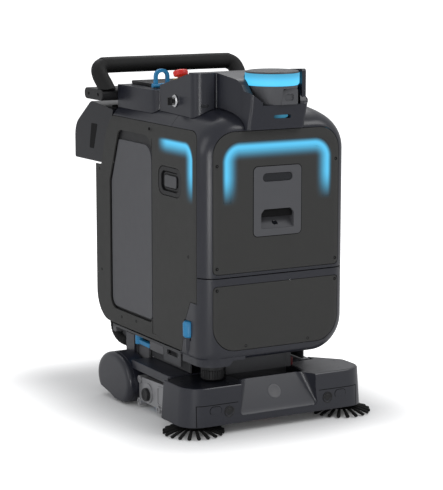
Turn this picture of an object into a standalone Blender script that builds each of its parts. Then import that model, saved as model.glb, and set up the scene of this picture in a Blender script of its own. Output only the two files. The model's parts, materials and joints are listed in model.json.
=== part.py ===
"""Compact robotic floor scrubber: a driverless cleaning machine with a tall tank body on a low
scrubbing deck. Metres, +Z up, +X to the machine's right-hand side of the picture plane, +Y to its
rear. The origin is on the floor in the middle of the machine's box. Depths run back from the
body's front plane, so a point is written (x, depth, height)."""

import math

import bmesh
import bpy
from mathutils import Matrix, Vector

# Driving dimensions
FRONT = -0.381  # y of the body's front plane
BODY_HALF_W = 0.2180
BODY_DEPTH = 0.634
BODY_TOP = 0.8365
BODY_LOW = 0.185
SEAM = 0.4075  # height of the joint between the upper and the lower front shell
EDGE_R = 0.05  # upright front edges
SHOULDER_DEPTH, SHOULDER_DROP = 0.16, 0.053
CHIN_DEPTH, CHIN_RISE = 0.035, 0.020
TOP_R = 0.106
LOW_RIGHT_R, LOW_LEFT_R = 0.09, 0.02
SKIN = 0.004  # thickness of shells and panels
GAP = 0.0005  # joint between neighbours
DECK_TOP = 0.1275
DECK_SKIN = 0.006
FRAME_LOW, FRAME_TOP = 0.1290, 0.1855
FLOOR_TOP = 0.192
RAIL_X = 0.100
BUMPER_TRAVEL = 0.010
BUMPER_HALF_W = 0.269
BUMPER_FRONT = -0.013
BUMPER_REAR = 0.125
BUMPER_LEAN = 0.007  # how far the sides lean out towards the floor
BUMPER_LOW = 0.026
SIDE_BRUSH = (0.226, 0.041)  # x and depth of the side brushes' shafts
SIDE_BRUSH_R = 0.081
TUFTS = 20
SCRUB_AXIS = (0.290, 0.047)  # depth and height of the scrub brush's shaft
SCRUB_R = 0.046
WHEEL_AXIS = (0.462, 0.062)
WHEEL_R = 0.062
CASTER_DEPTH = 0.088
CASTER_R = 0.026
CASTER_TRAIL = 0.014
SQUEEGEE_PIVOT = (0.535, 0.095)
POD = (0.0, 0.03)  # x and depth of the beacon's centre
HANDLE_R = 0.0225
SCREEN_TILT = math.radians(34.5)
ARC_STEPS = 5
ROUND = 24

for leftover in list(bpy.data.objects):
    bpy.data.objects.remove(leftover, do_unlink=True)

FINISHES = {
    "shell_paint": ((0.045, 0.048, 0.062), 0.38, 0.0),
    "panel_charcoal": ((0.042, 0.042, 0.040), 0.55, 0.0),
    "insert_gray": ((0.100, 0.101, 0.108), 0.50, 0.0),
    "deck_gray": ((0.130, 0.130, 0.135), 0.48, 0.0),
    "black_plastic": ((0.016, 0.016, 0.017), 0.50, 0.0),
    "handle_foam": ((0.012, 0.012, 0.012), 0.65, 0.0),
    "black_rubber": ((0.012, 0.012, 0.012), 0.80, 0.0),
    "bristle": ((0.006, 0.006, 0.006), 0.75, 0.0),
    "scrub_nylon": ((0.020, 0.150, 0.330), 0.70, 0.0),
    "cast_aluminium": ((0.400, 0.400, 0.410), 0.40, 0.9),
    "coated_steel": ((0.055, 0.056, 0.060), 0.45, 0.4),
    "steel": ((0.550, 0.550, 0.550), 0.25, 1.0),
    "service_blue": ((0.020, 0.230, 0.480), 0.40, 0.0),
    "stop_red": ((0.700, 0.020, 0.015), 0.35, 0.0),
    "caster_red": ((0.450, 0.030, 0.030), 0.50, 0.0),
    "stop_yellow": ((0.850, 0.560, 0.020), 0.40, 0.0),
    "light_cyan": ((0.080, 0.640, 0.950), 0.30, 0.0),
    "dark_glass": ((0.010, 0.011, 0.014), 0.08, 0.0),
    "tank_plastic": ((0.250, 0.260, 0.270), 0.45, 0.0),
}


def finish(name):
    made = bpy.data.materials.get(name)
    if made is None:
        colour, roughness, metallic = FINISHES[name]
        made = bpy.data.materials.new(name)
        made.use_nodes = True
        shader = made.node_tree.nodes["Principled BSDF"]
        shader.inputs["Base Color"].default_value = (*colour, 1.0)
        shader.inputs["Roughness"].default_value = roughness
        shader.inputs["Metallic"].default_value = metallic
    return made


def solid(name, points, faces, look=None):
    """An object from points and faces, its normals turned outwards."""
    mesh = bpy.data.meshes.new(name)
    mesh.from_pydata(points, [], faces)
    work = bmesh.new()
    work.from_mesh(mesh)
    bmesh.ops.recalc_face_normals(work, faces=work.faces)
    work.to_mesh(mesh)
    work.free()
    if look:
        mesh.materials.append(finish(look))
    made = bpy.data.objects.new(name, mesh)
    bpy.context.scene.collection.objects.link(made)
    return made


def place(x, depth, height):
    return Vector((x, FRONT + depth, height))


def fillet(corners, steps=ARC_STEPS):
    """An outline from (a, b) or (a, b, radius) corners, with an arc at each radius."""
    outline = []
    count = len(corners)
    for i, corner in enumerate(corners):
        here = Vector(corner[:2])
        radius = corner[2] if len(corner) > 2 else 0.0
        if radius <= 0:
            outline.append(tuple(here))
            continue
        before = (Vector(corners[i - 1][:2]) - here).normalized()
        after = (Vector(corners[(i + 1) % count][:2]) - here).normalized()
        half = math.acos(max(-1, min(1, before.dot(after)))) / 2
        reach = radius / math.tan(half)
        centre = here + (before + after).normalized() * (radius / math.sin(half))
        first = here + before * reach - centre
        last = here + after * reach - centre
        sweep = math.copysign(math.pi - 2 * half, first.x * last.y - first.y * last.x)
        for k in range(steps + 1):
            angle = sweep * k / steps
            cos, sin = math.cos(angle), math.sin(angle)
            outline.append((centre.x + first.x * cos - first.y * sin,
                            centre.y + first.x * sin + first.y * cos))
    return outline


def rectangle(low_a, low_b, high_a, high_b, radius=0.0, steps=ARC_STEPS):
    return fillet([(low_a, low_b, radius), (high_a, low_b, radius),
                   (high_a, high_b, radius), (low_a, high_b, radius)], steps)


def loft(name, rings, look=None):
    """A closed solid through rings with equal numbers of points."""
    size = len(rings[0])
    points = [tuple(point) for ring in rings for point in ring]
    faces = [tuple(range(size))]
    for k in range(len(rings) - 1):
        start = k * size
        for i in range(size):
            j = (i + 1) % size
            faces.append((start + i, start + j, start + size + j, start + size + i))
    last = (len(rings) - 1) * size
    faces.append(tuple(range(last + size - 1, last - 1, -1)))
    return solid(name, points, faces, look)


def prism(name, outline, along, low, high, look=None):
    """An outline extruded along x, y (depth) or z between low and high."""
    lift = {"x": lambda a, b, c: place(c, a, b),
            "y": lambda a, b, c: place(a, c, b),
            "z": lambda a, b, c: place(a, b, c)}[along]
    return loft(name, [[lift(a, b, c) for a, b in outline] for c in (low, high)], look)


def box(name, low, high, look=None):
    return prism(name, rectangle(low[0], low[1], high[0], high[1]), "z", low[2], high[2], look)


def turned(name, profile, centre, axis, look=None, steps=ROUND):
    """A profile of (radius, distance along axis) turned about an axis; radius 0 closes an end."""
    axis = Vector(axis).normalized()
    side = axis.orthogonal().normalized()
    if abs(axis.z) > 0.9:
        side = Vector((1, 0, 0))
    other = axis.cross(side)
    centre = place(*centre)
    points, rows = [], []
    for radius, along in profile:
        if radius == 0:
            rows.append([len(points)])
            points.append(tuple(centre + axis * along))
            continue
        rows.append(list(range(len(points), len(points) + steps)))
        for k in range(steps):
            angle = 2 * math.pi * k / steps
            ray = side * math.cos(angle) + other * math.sin(angle)
            points.append(tuple(centre + axis * along + ray * radius))
    if len(rows[0]) > 1 and len(rows[-1]) > 1:
        rows.append(rows[0])
    faces = []
    for first, second in zip(rows, rows[1:]):
        for k in range(steps):
            m = (k + 1) % steps
            if len(first) == 1:
                faces.append((first[0], second[k], second[m]))
            elif len(second) == 1:
                faces.append((first[k], second[0], first[m]))
            else:
                faces.append((first[k], second[k], second[m], first[m]))
    return solid(name, points, faces, look)


def drum(name, centre, axis, radius, low, high, look=None, steps=ROUND):
    return turned(name, [(0, low), (radius, low), (radius, high), (0, high)],
                  centre, axis, look, steps)


def tube(name, points, radius, look=None, sides=12, smooth=6):
    """A round tube along a smooth curve through points, with flat ends."""
    route = [place(*point) for point in points]
    path = []
    for i in range(len(route) - 1):
        before = route[max(i - 1, 0)]
        start, end = route[i], route[i + 1]
        after = route[min(i + 2, len(route) - 1)]
        for k in range(smooth):
            t = k / smooth
            path.append(0.5 * ((2 * start) + (end - before) * t
                               + (2 * before - 5 * start + 4 * end - after) * t * t
                               + (3 * start - before - 3 * end + after) * t ** 3))
    path.append(route[-1])
    rings = []
    heading = (path[1] - path[0]).normalized()
    side = heading.orthogonal().normalized()
    for i, point in enumerate(path):
        ahead = (path[min(i + 1, len(path) - 1)] - path[max(i - 1, 0)]).normalized()
        side = (side - ahead * side.dot(ahead)).normalized()
        other = ahead.cross(side)
        ring = []
        for k in range(sides):
            angle = 2 * math.pi * k / sides
            ring.append(point + (side * math.cos(angle) + other * math.sin(angle)) * radius)
        rings.append(ring)
    return loft(name, rings, look)


def combine(base, tool, operation):
    """Applies a Boolean at once and removes the tool."""
    change = base.modifiers.new("combine", "BOOLEAN")
    change.operation = operation
    change.object = tool
    graph = bpy.context.evaluated_depsgraph_get()
    made = bpy.data.meshes.new_from_object(base.evaluated_get(graph))
    base.modifiers.clear()
    base.data = made
    bpy.data.objects.remove(tool, do_unlink=True)
    return base


def cut(base, *tools):
    for tool in tools:
        combine(base, tool, "DIFFERENCE")
    return base


def join(base, *tools):
    for tool in tools:
        combine(base, tool, "UNION")
    return base


def keep(base, tool):
    return combine(base, tool, "INTERSECT")


def hang(part, pivot):
    """Puts the object's origin on its joint's axis."""
    point = place(*pivot)
    part.data.transform(Matrix.Translation(-point))
    part.location = point
    return part


def mirrored(part, name):
    """A copy of the part on the other side of the machine."""
    copy = part.copy()
    copy.data = part.data.copy()
    copy.name = name
    copy.data.name = name
    copy.data.transform(part.matrix_basis)
    copy.data.transform(Matrix.Scale(-1, 4, (1, 0, 0)))
    copy.data.flip_normals()
    copy.location = (0, 0, 0)
    bpy.context.scene.collection.objects.link(copy)
    return copy


# ---- The body's outer form

def eased(depth, reach, drop):
    """How far a rounded edge stands in at a depth, on an ellipse of reach by drop."""
    if depth >= reach:
        return 0.0
    return drop * (1 - math.sqrt(1 - (1 - depth / reach) ** 2))


def body_block(grow, back=BODY_DEPTH):
    """The whole body as one rounded block, grown outwards by grow."""
    rings = []
    for depth in (0.0, 0.002, 0.008, 0.018, 0.032, 0.05, 0.075, 0.11, SHOULDER_DEPTH, back):
        side = BODY_HALF_W - eased(depth, EDGE_R, EDGE_R) + grow
        top = BODY_TOP - eased(depth, SHOULDER_DEPTH, SHOULDER_DROP) + grow
        low = BODY_LOW + eased(depth, CHIN_DEPTH, CHIN_RISE) - grow
        top_r = TOP_R - 0.5 * (BODY_HALF_W - side + BODY_TOP - top)
        right_r = LOW_RIGHT_R if depth < 0.06 else LOW_LEFT_R
        outline = fillet([(-side, low, LOW_LEFT_R), (side, low, right_r),
                          (side, top, top_r), (-side, top, top_r)], 6)
        start = depth - grow if depth < back else depth + max(0.0, grow)
        rings.append([place(a, start, b) for a, b in outline])
    return loft("block", rings)


def skin(outer, inner, window, name=None, look=None):
    """The layer of the body's form between two growths, inside a window prism."""
    layer = cut(body_block(outer), body_block(inner, BODY_DEPTH + 0.01))
    keep(layer, window)
    if name:
        layer.name = name
        layer.data.name = name
        layer.data.materials.clear()
        layer.data.materials.append(finish(look))
    return layer


def side_outline(grow):
    """A side panel seen from the side, grown by grow: depth and height."""
    return fillet([(0.040 - grow, 0.781 + grow, 0.05),
                   (0.040 - grow, 0.340 - grow),
                   (0.072 - grow, 0.340 - grow),
                   (0.097 - grow, 0.293 - grow),
                   (0.121 - grow, 0.201 - grow),
                   (BODY_DEPTH + 2 * grow, 0.201 - grow, 0.08),
                   (BODY_DEPTH + 2 * grow, 0.640 + grow),
                   (0.599 + grow, 0.640 + grow),
                   (0.548 + grow, 0.781 + grow)])


def upper_panel_outline(grow):
    return fillet([(-0.1875 - grow, 0.418 - grow, 0.012), (0.1875 + grow, 0.418 - grow, 0.012),
                   (0.1875 + grow, 0.782 + grow, 0.06), (-0.1875 - grow, 0.782 + grow, 0.06)])


def lower_panel_outline(grow):
    return fillet([(-0.1875 - grow, 0.215 - grow, 0.065), (0.1875 + grow, 0.215 - grow, 0.065),
                   (0.1875 + grow, 0.386 + grow, 0.012), (-0.1875 - grow, 0.386 + grow, 0.012)])


def front_strip_outline(grow):
    """The front light: an arch that follows the panel's top corners, in x and height."""
    out, thick, top, low = 0.160 + grow, 0.022 + 2 * grow, 0.756 + grow, 0.600 - grow
    return fillet([(-out, low), (-out, top, 0.045), (out, top, 0.045), (out, low),
                   (out - thick, low), (out - thick, top - thick, 0.024),
                   (thick - out, top - thick, 0.024), (thick - out, low)])


def side_strip_outline(grow):
    front, thick, top = 0.056 - grow, 0.018 + 2 * grow, 0.752 + grow
    return fillet([(front, 0.600 - grow), (front + thick, 0.600 - grow),
                   (front + thick, top - thick, 0.022), (0.236 + grow, top - thick),
                   (0.236 + grow, top), (front, top, 0.040)])


def console_outline(grow):
    """The operator's console seen from the side: depth and height."""
    return fillet([(0.5485 - grow, 0.797 + grow, 0.004), (0.5995 - grow, 0.642 - grow, 0.004),
                   (0.802 + grow, 0.640 - grow, 0.006), (0.802 + grow, 0.735 + grow, 0.060),
                   (0.690, 0.812 + grow, 0.040)], 5)


def side_camera_outline(grow):
    return rectangle(0.121 - grow, 0.602 - grow, 0.248 + grow, 0.677 + grow, 0.026 + grow)


def insert_outline(grow):
    return fillet([(0.297 - grow, 0.250 - grow, 0.012), (0.540 + grow, 0.250 - grow, 0.030),
                   (0.540 + grow, 0.600), (0.491 + grow, 0.722 + grow, 0.012),
                   (0.297 - grow, 0.722 + grow, 0.040)])


def insert_opening(grow):
    return fillet([(0.287 - grow, 0.243 - grow, 0.018), (0.546 + grow, 0.243 - grow, 0.034),
                   (0.546 + grow, 0.604), (0.488 + grow, 0.748 + grow, 0.020),
                   (0.287 - grow, 0.748 + grow, 0.045)])


# ---- Shells and panels of the body

def build_upper_shell():
    """The hood: front frame, shoulders and top, open to the rear and below."""
    window = prism("window", rectangle(-0.3, SEAM + GAP, 0.3, 1.0), "y", -0.05, 0.60)
    shell = skin(0.0, -0.005, window, "upper_shell", "shell_paint")
    cut(shell, prism("cut", upper_panel_outline(GAP), "y", -0.02, 0.045))
    for low, high in ((-0.30, -0.17), (0.17, 0.30)):
        cut(shell, prism("cut", side_outline(GAP), "x", low, high))
    cut(shell, prism("cut", [(0.62, 0.3), (0.62, 0.9), (0.5285, 0.9), (0.548, 0.781),
                             (0.5985, 0.6395), (0.5985, 0.3)], "x", -0.3, 0.3))
    cut(shell, box("cut", (-0.125, 0.405, 0.80), (0.125, 0.535, 0.86)))
    return shell


def build_lower_shell():
    """The front below the joint, with the leg that closes the hose bay on one side."""
    window = prism("window", rectangle(-0.3, 0.1, 0.3, SEAM - GAP), "y", -0.05, 0.132)
    shell = skin(0.0, -0.005, window, "lower_shell", "shell_paint")
    leg = prism("leg", fillet([(-BODY_HALF_W + 0.004, 0.173, 0.012), (-0.128, 0.173, 0.012),
                               (-0.108, 0.212), (-0.128, 0.235), (-BODY_HALF_W + 0.004, 0.235)]),
                "y", 0.0145, 0.121)
    join(shell, leg)
    cut(shell, prism("cut", fillet([(-0.2030, 0.19), (-0.133, 0.19), (-0.12, 0.212),
                                    (-0.14, 0.26), (-0.2030, 0.26)]), "y", 0.020, 0.14))
    cut(shell, prism("cut", lower_panel_outline(GAP), "y", -0.02, 0.045))
    for low, high in ((-0.30, -0.165), (0.165, 0.30)):
        cut(shell, prism("cut", side_outline(GAP), "x", low, high))
    cut(shell, drum("cut", (-0.2135, 0.086, 0.0), (0, 0, 1), 0.0185, 0.242, 0.300))
    return shell


def build_front_panels():
    window = prism("window", upper_panel_outline(0), "y", -0.01, 0.045)
    upper = skin(0.0, -SKIN, window, "upper_front_panel", "panel_charcoal")
    cut(upper, prism("cut", front_strip_outline(0.0004), "y", -0.02, 0.03))
    cut(upper, prism("cut", rectangle(-0.0720, 0.5075, 0.0720, 0.6895, 0.0125), "y", -0.02, 0.03))
    window = prism("window", front_strip_outline(0), "y", -0.01, 0.03)
    skin(0.0, -0.003, window, "front_light_strip", "light_cyan")
    window = prism("window", lower_panel_outline(0), "y", -0.01, 0.045)
    skin(0.0, -SKIN, window, "lower_front_panel", "panel_charcoal")


def build_sensor_plate():
    """The plate with the depth camera's slot and, below it, a pocket with a sloping floor."""
    plate = prism("sensor_plate", rectangle(-0.0715, 0.508, 0.0715, 0.689, 0.012),
                  "y", -0.0008, 0.0052, "insert_gray")
    join(plate, box("back", (-0.056, 0.004, 0.516), (0.056, 0.034, 0.584)))
    cut(plate, prism("cut", rectangle(-0.0445, 0.649, 0.0445, 0.671, 0.006), "y", -0.02, 0.03))
    cut(plate, prism("cut", fillet([(-0.01, 0.5255), (0.004, 0.5265), (0.026, 0.549),
                                    (0.029, 0.556, 0.004), (0.029, 0.5765, 0.004),
                                    (-0.01, 0.5765)]), "x", -0.049, 0.049))
    camera = prism("depth_camera", rectangle(-0.044, 0.6495, 0.044, 0.6705, 0.0055),
                   "y", 0.0012, 0.024, "dark_glass")
    return plate, camera


def build_side(left):
    """One side: its panel, light, camera and the recessed gray insert."""
    name = "left" if left else "right"
    near, far = (-0.30, -0.165) if left else (0.165, 0.30)
    panel = skin(0.0, -SKIN, prism("window", side_outline(0), "x", near, far),
                 f"{name}_side_panel", "panel_charcoal")
    cut(panel, prism("cut", side_strip_outline(0.0004), "x", near, far))
    cut(panel, prism("cut", side_camera_outline(GAP), "x", near, far))
    cut(panel, prism("cut", insert_opening(0), "x", near, far))
    if left:
        cut(panel, drum("cut", (-0.2135, 0.086, 0.0), (0, 0, 1), 0.0185, 0.242, 0.300))
    skin(0.0, -0.003, prism("window", side_strip_outline(0), "x", near, far),
         f"{name}_light_strip", "light_cyan")

    side = -1 if left else 1

    def flat(outline, outer, inner, label, look=None):
        ends = sorted((side * outer, side * inner))
        return prism(label, outline, "x", ends[0], ends[1], look)

    camera = flat(side_camera_outline(0), 0.2168, 0.2030, f"{name}_side_camera", "black_plastic")
    cut(camera, flat(rectangle(0.138, 0.613, 0.231, 0.666, 0.018), 0.2300, 0.2110, "cut"))
    join(camera, flat(rectangle(0.150, 0.620, 0.219, 0.659, 0.008), 0.2135, 0.2080, "pad"))
    insert = flat(insert_opening(0.006), 0.2090, 0.2050, f"{name}_side_insert", "insert_gray")
    join(insert, flat(insert_outline(0), 0.2140, 0.2070, "face"))


def build_rear_panel():
    """The back cover: a sheet that curls under the body, notched for the suction hose."""
    sheet = []
    for radius in (0.0795, 0.0755):
        curve = [(0.5540 + radius, 0.6375)]
        for k in range(7):
            angle = math.radians(60) * k / 6
            curve.append((0.5540 + radius * math.cos(angle), 0.2810 - radius * math.sin(angle)))
        sheet.append(curve)
    outline = sheet[0] + sheet[1][::-1]
    panel = prism("rear_panel", outline, "x", -0.2130, 0.2130, "panel_charcoal")
    cut(panel, drum("cut", (-0.178, 0.600, 0), (0, 0, 1), 0.0190, 0.17, 0.26, steps=16),
        box("cut", (-0.197, 0.570, 0.17), (-0.159, 0.600, 0.26)))
    return panel


# ---- Inside the body

def build_inside():
    battery = prism("battery_pack", rectangle(-0.150, 0.350, 0.150, 0.560, 0.008, 2),
                    "z", FLOOR_TOP + GAP, 0.350, "black_plastic")
    join(battery, box("lug", (-0.03, 0.43, 0.345), (0.03, 0.48, 0.365)))
    tank = prism("solution_tank", rectangle(-0.190, 0.060, 0.190, 0.330, 0.03, 3),
                 "z", 0.380, 0.760, "tank_plastic")
    join(tank, drum("neck", (0.10, 0.20, 0), (0, 0, 1), 0.035, 0.75, 0.785, steps=16))
    waste = prism("recovery_tank", rectangle(-0.185, 0.345, 0.185, 0.535, 0.02, 3),
                  "z", 0.370, 0.826, "tank_plastic")
    cut(waste, prism("cut", rectangle(-0.180, 0.350, 0.180, 0.530, 0.016, 3), "z", 0.376, 0.762))
    cut(waste, box("cut", (-0.124, 0.406, 0.75), (0.124, 0.529, 0.84)))
    for low, high in ((-0.19, -0.14), (0.14, 0.19)):
        cut(waste, box("cut", (low, 0.34, 0.770), (high, 0.54, 0.84)))
    motor = turned("vacuum_motor", [(0, FLOOR_TOP + GAP), (0.075, FLOOR_TOP + GAP), (0.075, 0.245),
                                    (0.058, 0.255), (0.058, 0.320), (0.030, 0.335), (0, 0.335)],
                   (0.06, 0.230, 0), (0, 0, 1), "black_plastic")
    return battery, tank, waste, motor


# ---- Chassis under the body

def build_chassis():
    """Welded frame: floor plate, two rails, cross members, front apron, brackets and axle plates."""
    frame = prism("chassis_frame", rectangle(-0.207, 0.137, 0.207, 0.570, 0.02, 3),
                  "z", FRAME_TOP, FLOOR_TOP, "coated_steel")
    rail = [(0.0935, FRAME_LOW), (0.566, FRAME_LOW), (0.566, FRAME_TOP + 0.002),
            (0.1375, FRAME_TOP + 0.002), (0.1375, 0.1840), (0.0935, 0.1840)]
    for side in (-1, 1):
        ends = sorted((side * (RAIL_X - 0.016), side * RAIL_X))
        join(frame, prism("rail", rail, "x", *ends))
    apron_low = DECK_TOP + 0.001
    join(frame, box("apron", (-RAIL_X + 0.002, 0.0940, apron_low), (RAIL_X - 0.002, 0.0985, 0.1835)))
    join(frame, box("web", (-0.195, 0.137, 0.060), (0.195, 0.1455, 0.1205)))
    join(frame, box("web_neck", (-0.080, 0.137, 0.110), (0.080, 0.1455, 0.188)))
    join(frame, box("caster_arm", (-0.035, 0.064, 0.076), (0.035, 0.142, 0.084)))
    low, high = WHEEL_AXIS[0] - 0.03, WHEEL_AXIS[0] + 0.03
    for side in (-1, 1):
        inner, outer = sorted((side * 0.186, side * 0.192))
        join(frame, box("axle_plate", (inner, low, 0.035), (outer, high, FRAME_TOP + 0.002)))
        join(frame, drum("motor", (0, *WHEEL_AXIS), (side, 0, 0), 0.038, 0.112, 0.190, steps=16))
        inner, outer = sorted((side * 0.200, side * 0.205))
        bracket = prism("bracket", rectangle(0.150, 0.149, 0.248, FRAME_TOP + 0.002),
                        "x", inner, outer)
        cut(bracket, prism("cut", rectangle(0.168, 0.170, 0.228, 0.183, 0.003, 2),
                           "x", inner - 0.01, outer + 0.01))
        join(frame, bracket)
        inner, outer = sorted((side * 0.172, side * 0.176))
        join(frame, box("sill", (inner, 0.150, FRAME_LOW), (outer, 0.430, FRAME_TOP + 0.002)))
    join(frame, box("pivot", (-0.075, 0.500, 0.088), (-0.066, 0.550, 0.140)),
         box("pivot", (0.066, 0.500, 0.088), (0.075, 0.550, 0.140)),
         box("pivot_bar", (-0.098, 0.500, 0.130), (0.098, 0.550, 0.140)))
    cut(frame, drum("hole", (0, *SQUEEGEE_PIVOT), (1, 0, 0), 0.0046, -0.080, 0.080, steps=12))
    return frame


def build_deck_cover():
    """The plate over the scrub deck, with a skirt along each side."""
    edge = DECK_TOP - DECK_SKIN
    cover = prism("deck_cover", fillet([(-0.240, 0.1475, 0.01), (0.195, 0.1475), (0.195, 0.372),
                                        (-0.240, 0.372)], 3), "z", edge, DECK_TOP, "shell_paint")
    join(cover, box("skirt", (-0.240, 0.158, 0.105), (-0.2365, 0.368, edge + 0.003)))
    join(cover, box("skirt", (0.1915, 0.158, 0.105), (0.195, 0.368, edge + 0.003)))
    return cover


# ---- Bumper

def bumper_ring(grow, height, rear):
    """The bumper's outline in plan. Its sides lean out towards the floor, and on one side it
    turns in behind the corner, beside the deck cover."""
    lean = BUMPER_LEAN * (DECK_TOP - height) / (DECK_TOP - BUMPER_LOW)
    half = BUMPER_HALF_W + lean + grow
    front = BUMPER_FRONT - 0.25 * lean - grow
    corner = 0.055 + grow
    turn = (half, 0.0960 + 0.41 * grow, 0.030 + grow)
    tail = (0.2010 + lean + 0.726 * grow, 0.1690 + 0.6875 * grow)
    stretch = max(0.0, rear - BUMPER_REAR) * 1.6
    tail = (tail[0] - 0.6875 * stretch, tail[1] + 0.726 * stretch)
    outline = fillet([(-half, rear, 0.0), (-half, front, corner), (half, front, corner), turn,
                      tail, (0.1880, rear + stretch)], 6)
    return [place(a, b, height) for a, b in outline]


def scoop(grow):
    """The wedge cut from the bumper's face: its floor slopes back as it rises."""
    low = 0.044 - grow
    foot, brow, back = 0.121 + grow, 0.132 + grow, 0.092 + grow
    rear = 0.032 + grow
    top = DECK_TOP + 0.03
    slope = (rear - BUMPER_FRONT) / (DECK_TOP - low)
    end = BUMPER_FRONT + slope * (top - low)
    ahead = -0.06
    ring_low = [place(-foot, ahead, low - 0.0005), place(foot, ahead, low - 0.0005),
                place(foot, BUMPER_FRONT + grow * 0.6, low), place(-foot, BUMPER_FRONT + grow * 0.6, low)]
    ring_high = [place(-brow - 0.004, ahead, top), place(brow + 0.004, ahead, top),
                 place(back, end, top), place(-back, end, top)]
    return loft("scoop", [ring_low, ring_high])


def build_bumper():
    heights = (BUMPER_LOW, 0.060, 0.120, DECK_TOP)
    outer = loft("front_bumper", [bumper_ring(-0.0015 if height == DECK_TOP else 0.0, height,
                                              BUMPER_REAR) for height in heights], "shell_paint")
    cut(outer, scoop(0.0))
    inner = loft("inner", [bumper_ring(-0.004, height, BUMPER_REAR + 0.012)
                           for height in (BUMPER_LOW - 0.01, 0.060, DECK_TOP + 0.01)])
    cut(inner, scoop(0.004))
    return cut(outer, inner)


def build_bumper_top():
    """The bumper's lid: flat at both sides, sloping down into a pit in front of the apron."""
    low = DECK_TOP - DECK_SKIN
    half, front = BUMPER_HALF_W - 0.0046, BUMPER_FRONT + 0.0046
    plate = prism("bumper_top", fillet([(-0.2350, 0.1365), (-half, 0.1180, 0.02),
                                        (-half, front, 0.0504), (half, front, 0.0504),
                                        (half, 0.0940, 0.0254), (0.1980, 0.1645),
                                        (0.1980, 0.1365)], 6),
                  "z", low, DECK_TOP, "deck_gray")
    cut(plate, scoop(0.0046))
    notch = [(-0.098, 0.030), (0.098, 0.030), (0.106, 0.150), (-0.106, 0.150)]
    cut(plate, prism("cut", notch, "z", low - 0.01, DECK_TOP + 0.01))
    floor = prism("pit", [(0.0380, 0.1215), (0.0380, 0.1145), (0.1170, 0.0940), (0.1170, 0.1000)],
                  "x", -0.1045, 0.1045)
    walls = [prism("wall", [(0.0400, 0.1165), (0.1190, 0.0965), (0.1190, DECK_TOP - 0.001),
                            (0.0400, DECK_TOP - 0.001)], "x", *sorted((side * 0.1085, side * 0.1015)))
             for side in (-1, 1)]
    join(plate, *walls)
    return join(plate, floor)


# ---- Scrub deck, brushes and squeegee

def build_scrub_deck():
    """A tunnel over the scrub brush, its end plate and the cast gearbox on the left."""
    depth, height = SCRUB_AXIS
    shell = prism("scrub_deck", fillet([(depth - 0.055, 0.014), (depth - 0.055, 0.098, 0.03),
                                        (depth + 0.055, 0.098, 0.03), (depth + 0.055, 0.014)], 4),
                  "x", -0.2120, 0.1880, "coated_steel")
    cut(shell, drum("cut", (0, depth, height), (1, 0, 0), SCRUB_R + 0.003, -0.206, 0.182))
    cut(shell, box("cut", (-0.206, depth - 0.049, 0.0), (0.182, depth + 0.049, height)))
    cut(shell, drum("bore", (0, depth, height), (1, 0, 0), 0.0125, -0.24, 0.24, steps=16))
    gearbox = prism("brush_gearbox", fillet([(0.172, 0.020, 0.010), (0.345, 0.020, 0.010),
                                             (0.345, 0.086, 0.014), (0.172, 0.093, 0.006)], 4),
                    "x", -0.2305, -0.2124, "cast_aluminium")
    boss = drum("boss", (0, depth, height + 0.004), (-1, 0, 0), 0.027, 0.218, 0.2345, steps=20)
    join(gearbox, boss)
    for lug_depth, lug_height in ((0.339, 0.017), (0.226, 0.019), (0.336, 0.080)):
        join(gearbox, drum("lug", (0, lug_depth, lug_height), (-1, 0, 0), 0.0105,
                           0.2124, 0.2350, steps=14))
    cut(gearbox, drum("bore", (0, depth, height), (-1, 0, 0), 0.0125, 0.20, 0.25, steps=16))
    brush = turned("scrub_brush", [(0, -0.2380), (0.0120, -0.2380), (0.0120, -0.2040),
                                   (SCRUB_R, -0.2040), (SCRUB_R, 0.1800), (0.0120, 0.1800),
                                   (0.0120, 0.1840), (0, 0.1840)],
                   (0, depth, height), (1, 0, 0), "scrub_nylon")
    knob = drum("knob", (0, depth, height), (-1, 0, 0), 0.018, 0.2350, 0.2440, steps=16)
    join(brush, knob)
    hang(brush, (0, depth, height))
    return shell, gearbox, brush


def build_side_brush(name, x):
    """A hub with a ring of tufts that slope down to the floor."""
    hub = turned(name, [(0, 0.0105), (0.026, 0.0105), (0.030, 0.014), (0.030, 0.022),
                        (0.020, 0.0265), (0, 0.0265)], (x, SIDE_BRUSH[1], 0), (0, 0, 1),
                 "bristle", 20)
    for k in range(TUFTS):
        angle = 2 * math.pi * k / TUFTS
        out = Vector((math.cos(angle), math.sin(angle), 0))
        across = Vector((-math.sin(angle), math.cos(angle), 0))
        centre = place(x, SIDE_BRUSH[1], 0)
        rings = []
        for radius, half, low, high in ((0.022, 0.0030, 0.0125, 0.0200),
                                        (SIDE_BRUSH_R, 0.0058, 0.0004, 0.0085)):
            foot = centre + out * radius
            rings.append([foot + across * side * half + Vector((0, 0, level))
                          for side, level in ((-1, low), (1, low), (1, high), (-1, high))])
        join(hub, loft("tuft", rings))
    return hang(hub, (x, SIDE_BRUSH[1], 0.014))


def build_brush_motor():
    """The side brush's gear motor and the arm that carries it from the frame."""
    x, depth = -SIDE_BRUSH[0] + 0.020, SIDE_BRUSH[1]
    motor = turned("left_brush_motor", [(0, 0.0300), (0.022, 0.0300), (0.029, 0.036),
                                        (0.029, 0.094), (0.024, 0.100), (0, 0.100)],
                   (x, depth + 0.006, 0), (0, 0, 1), "black_plastic", 20)
    join(motor, drum("shaft", (-SIDE_BRUSH[0], depth, 0), (0, 0, 1), 0.008, 0.0272, 0.040, steps=12))
    arm = box("arm", (x - 0.014, depth, 0.066), (x + 0.024, 0.1365, 0.078))
    return join(motor, arm)


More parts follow.
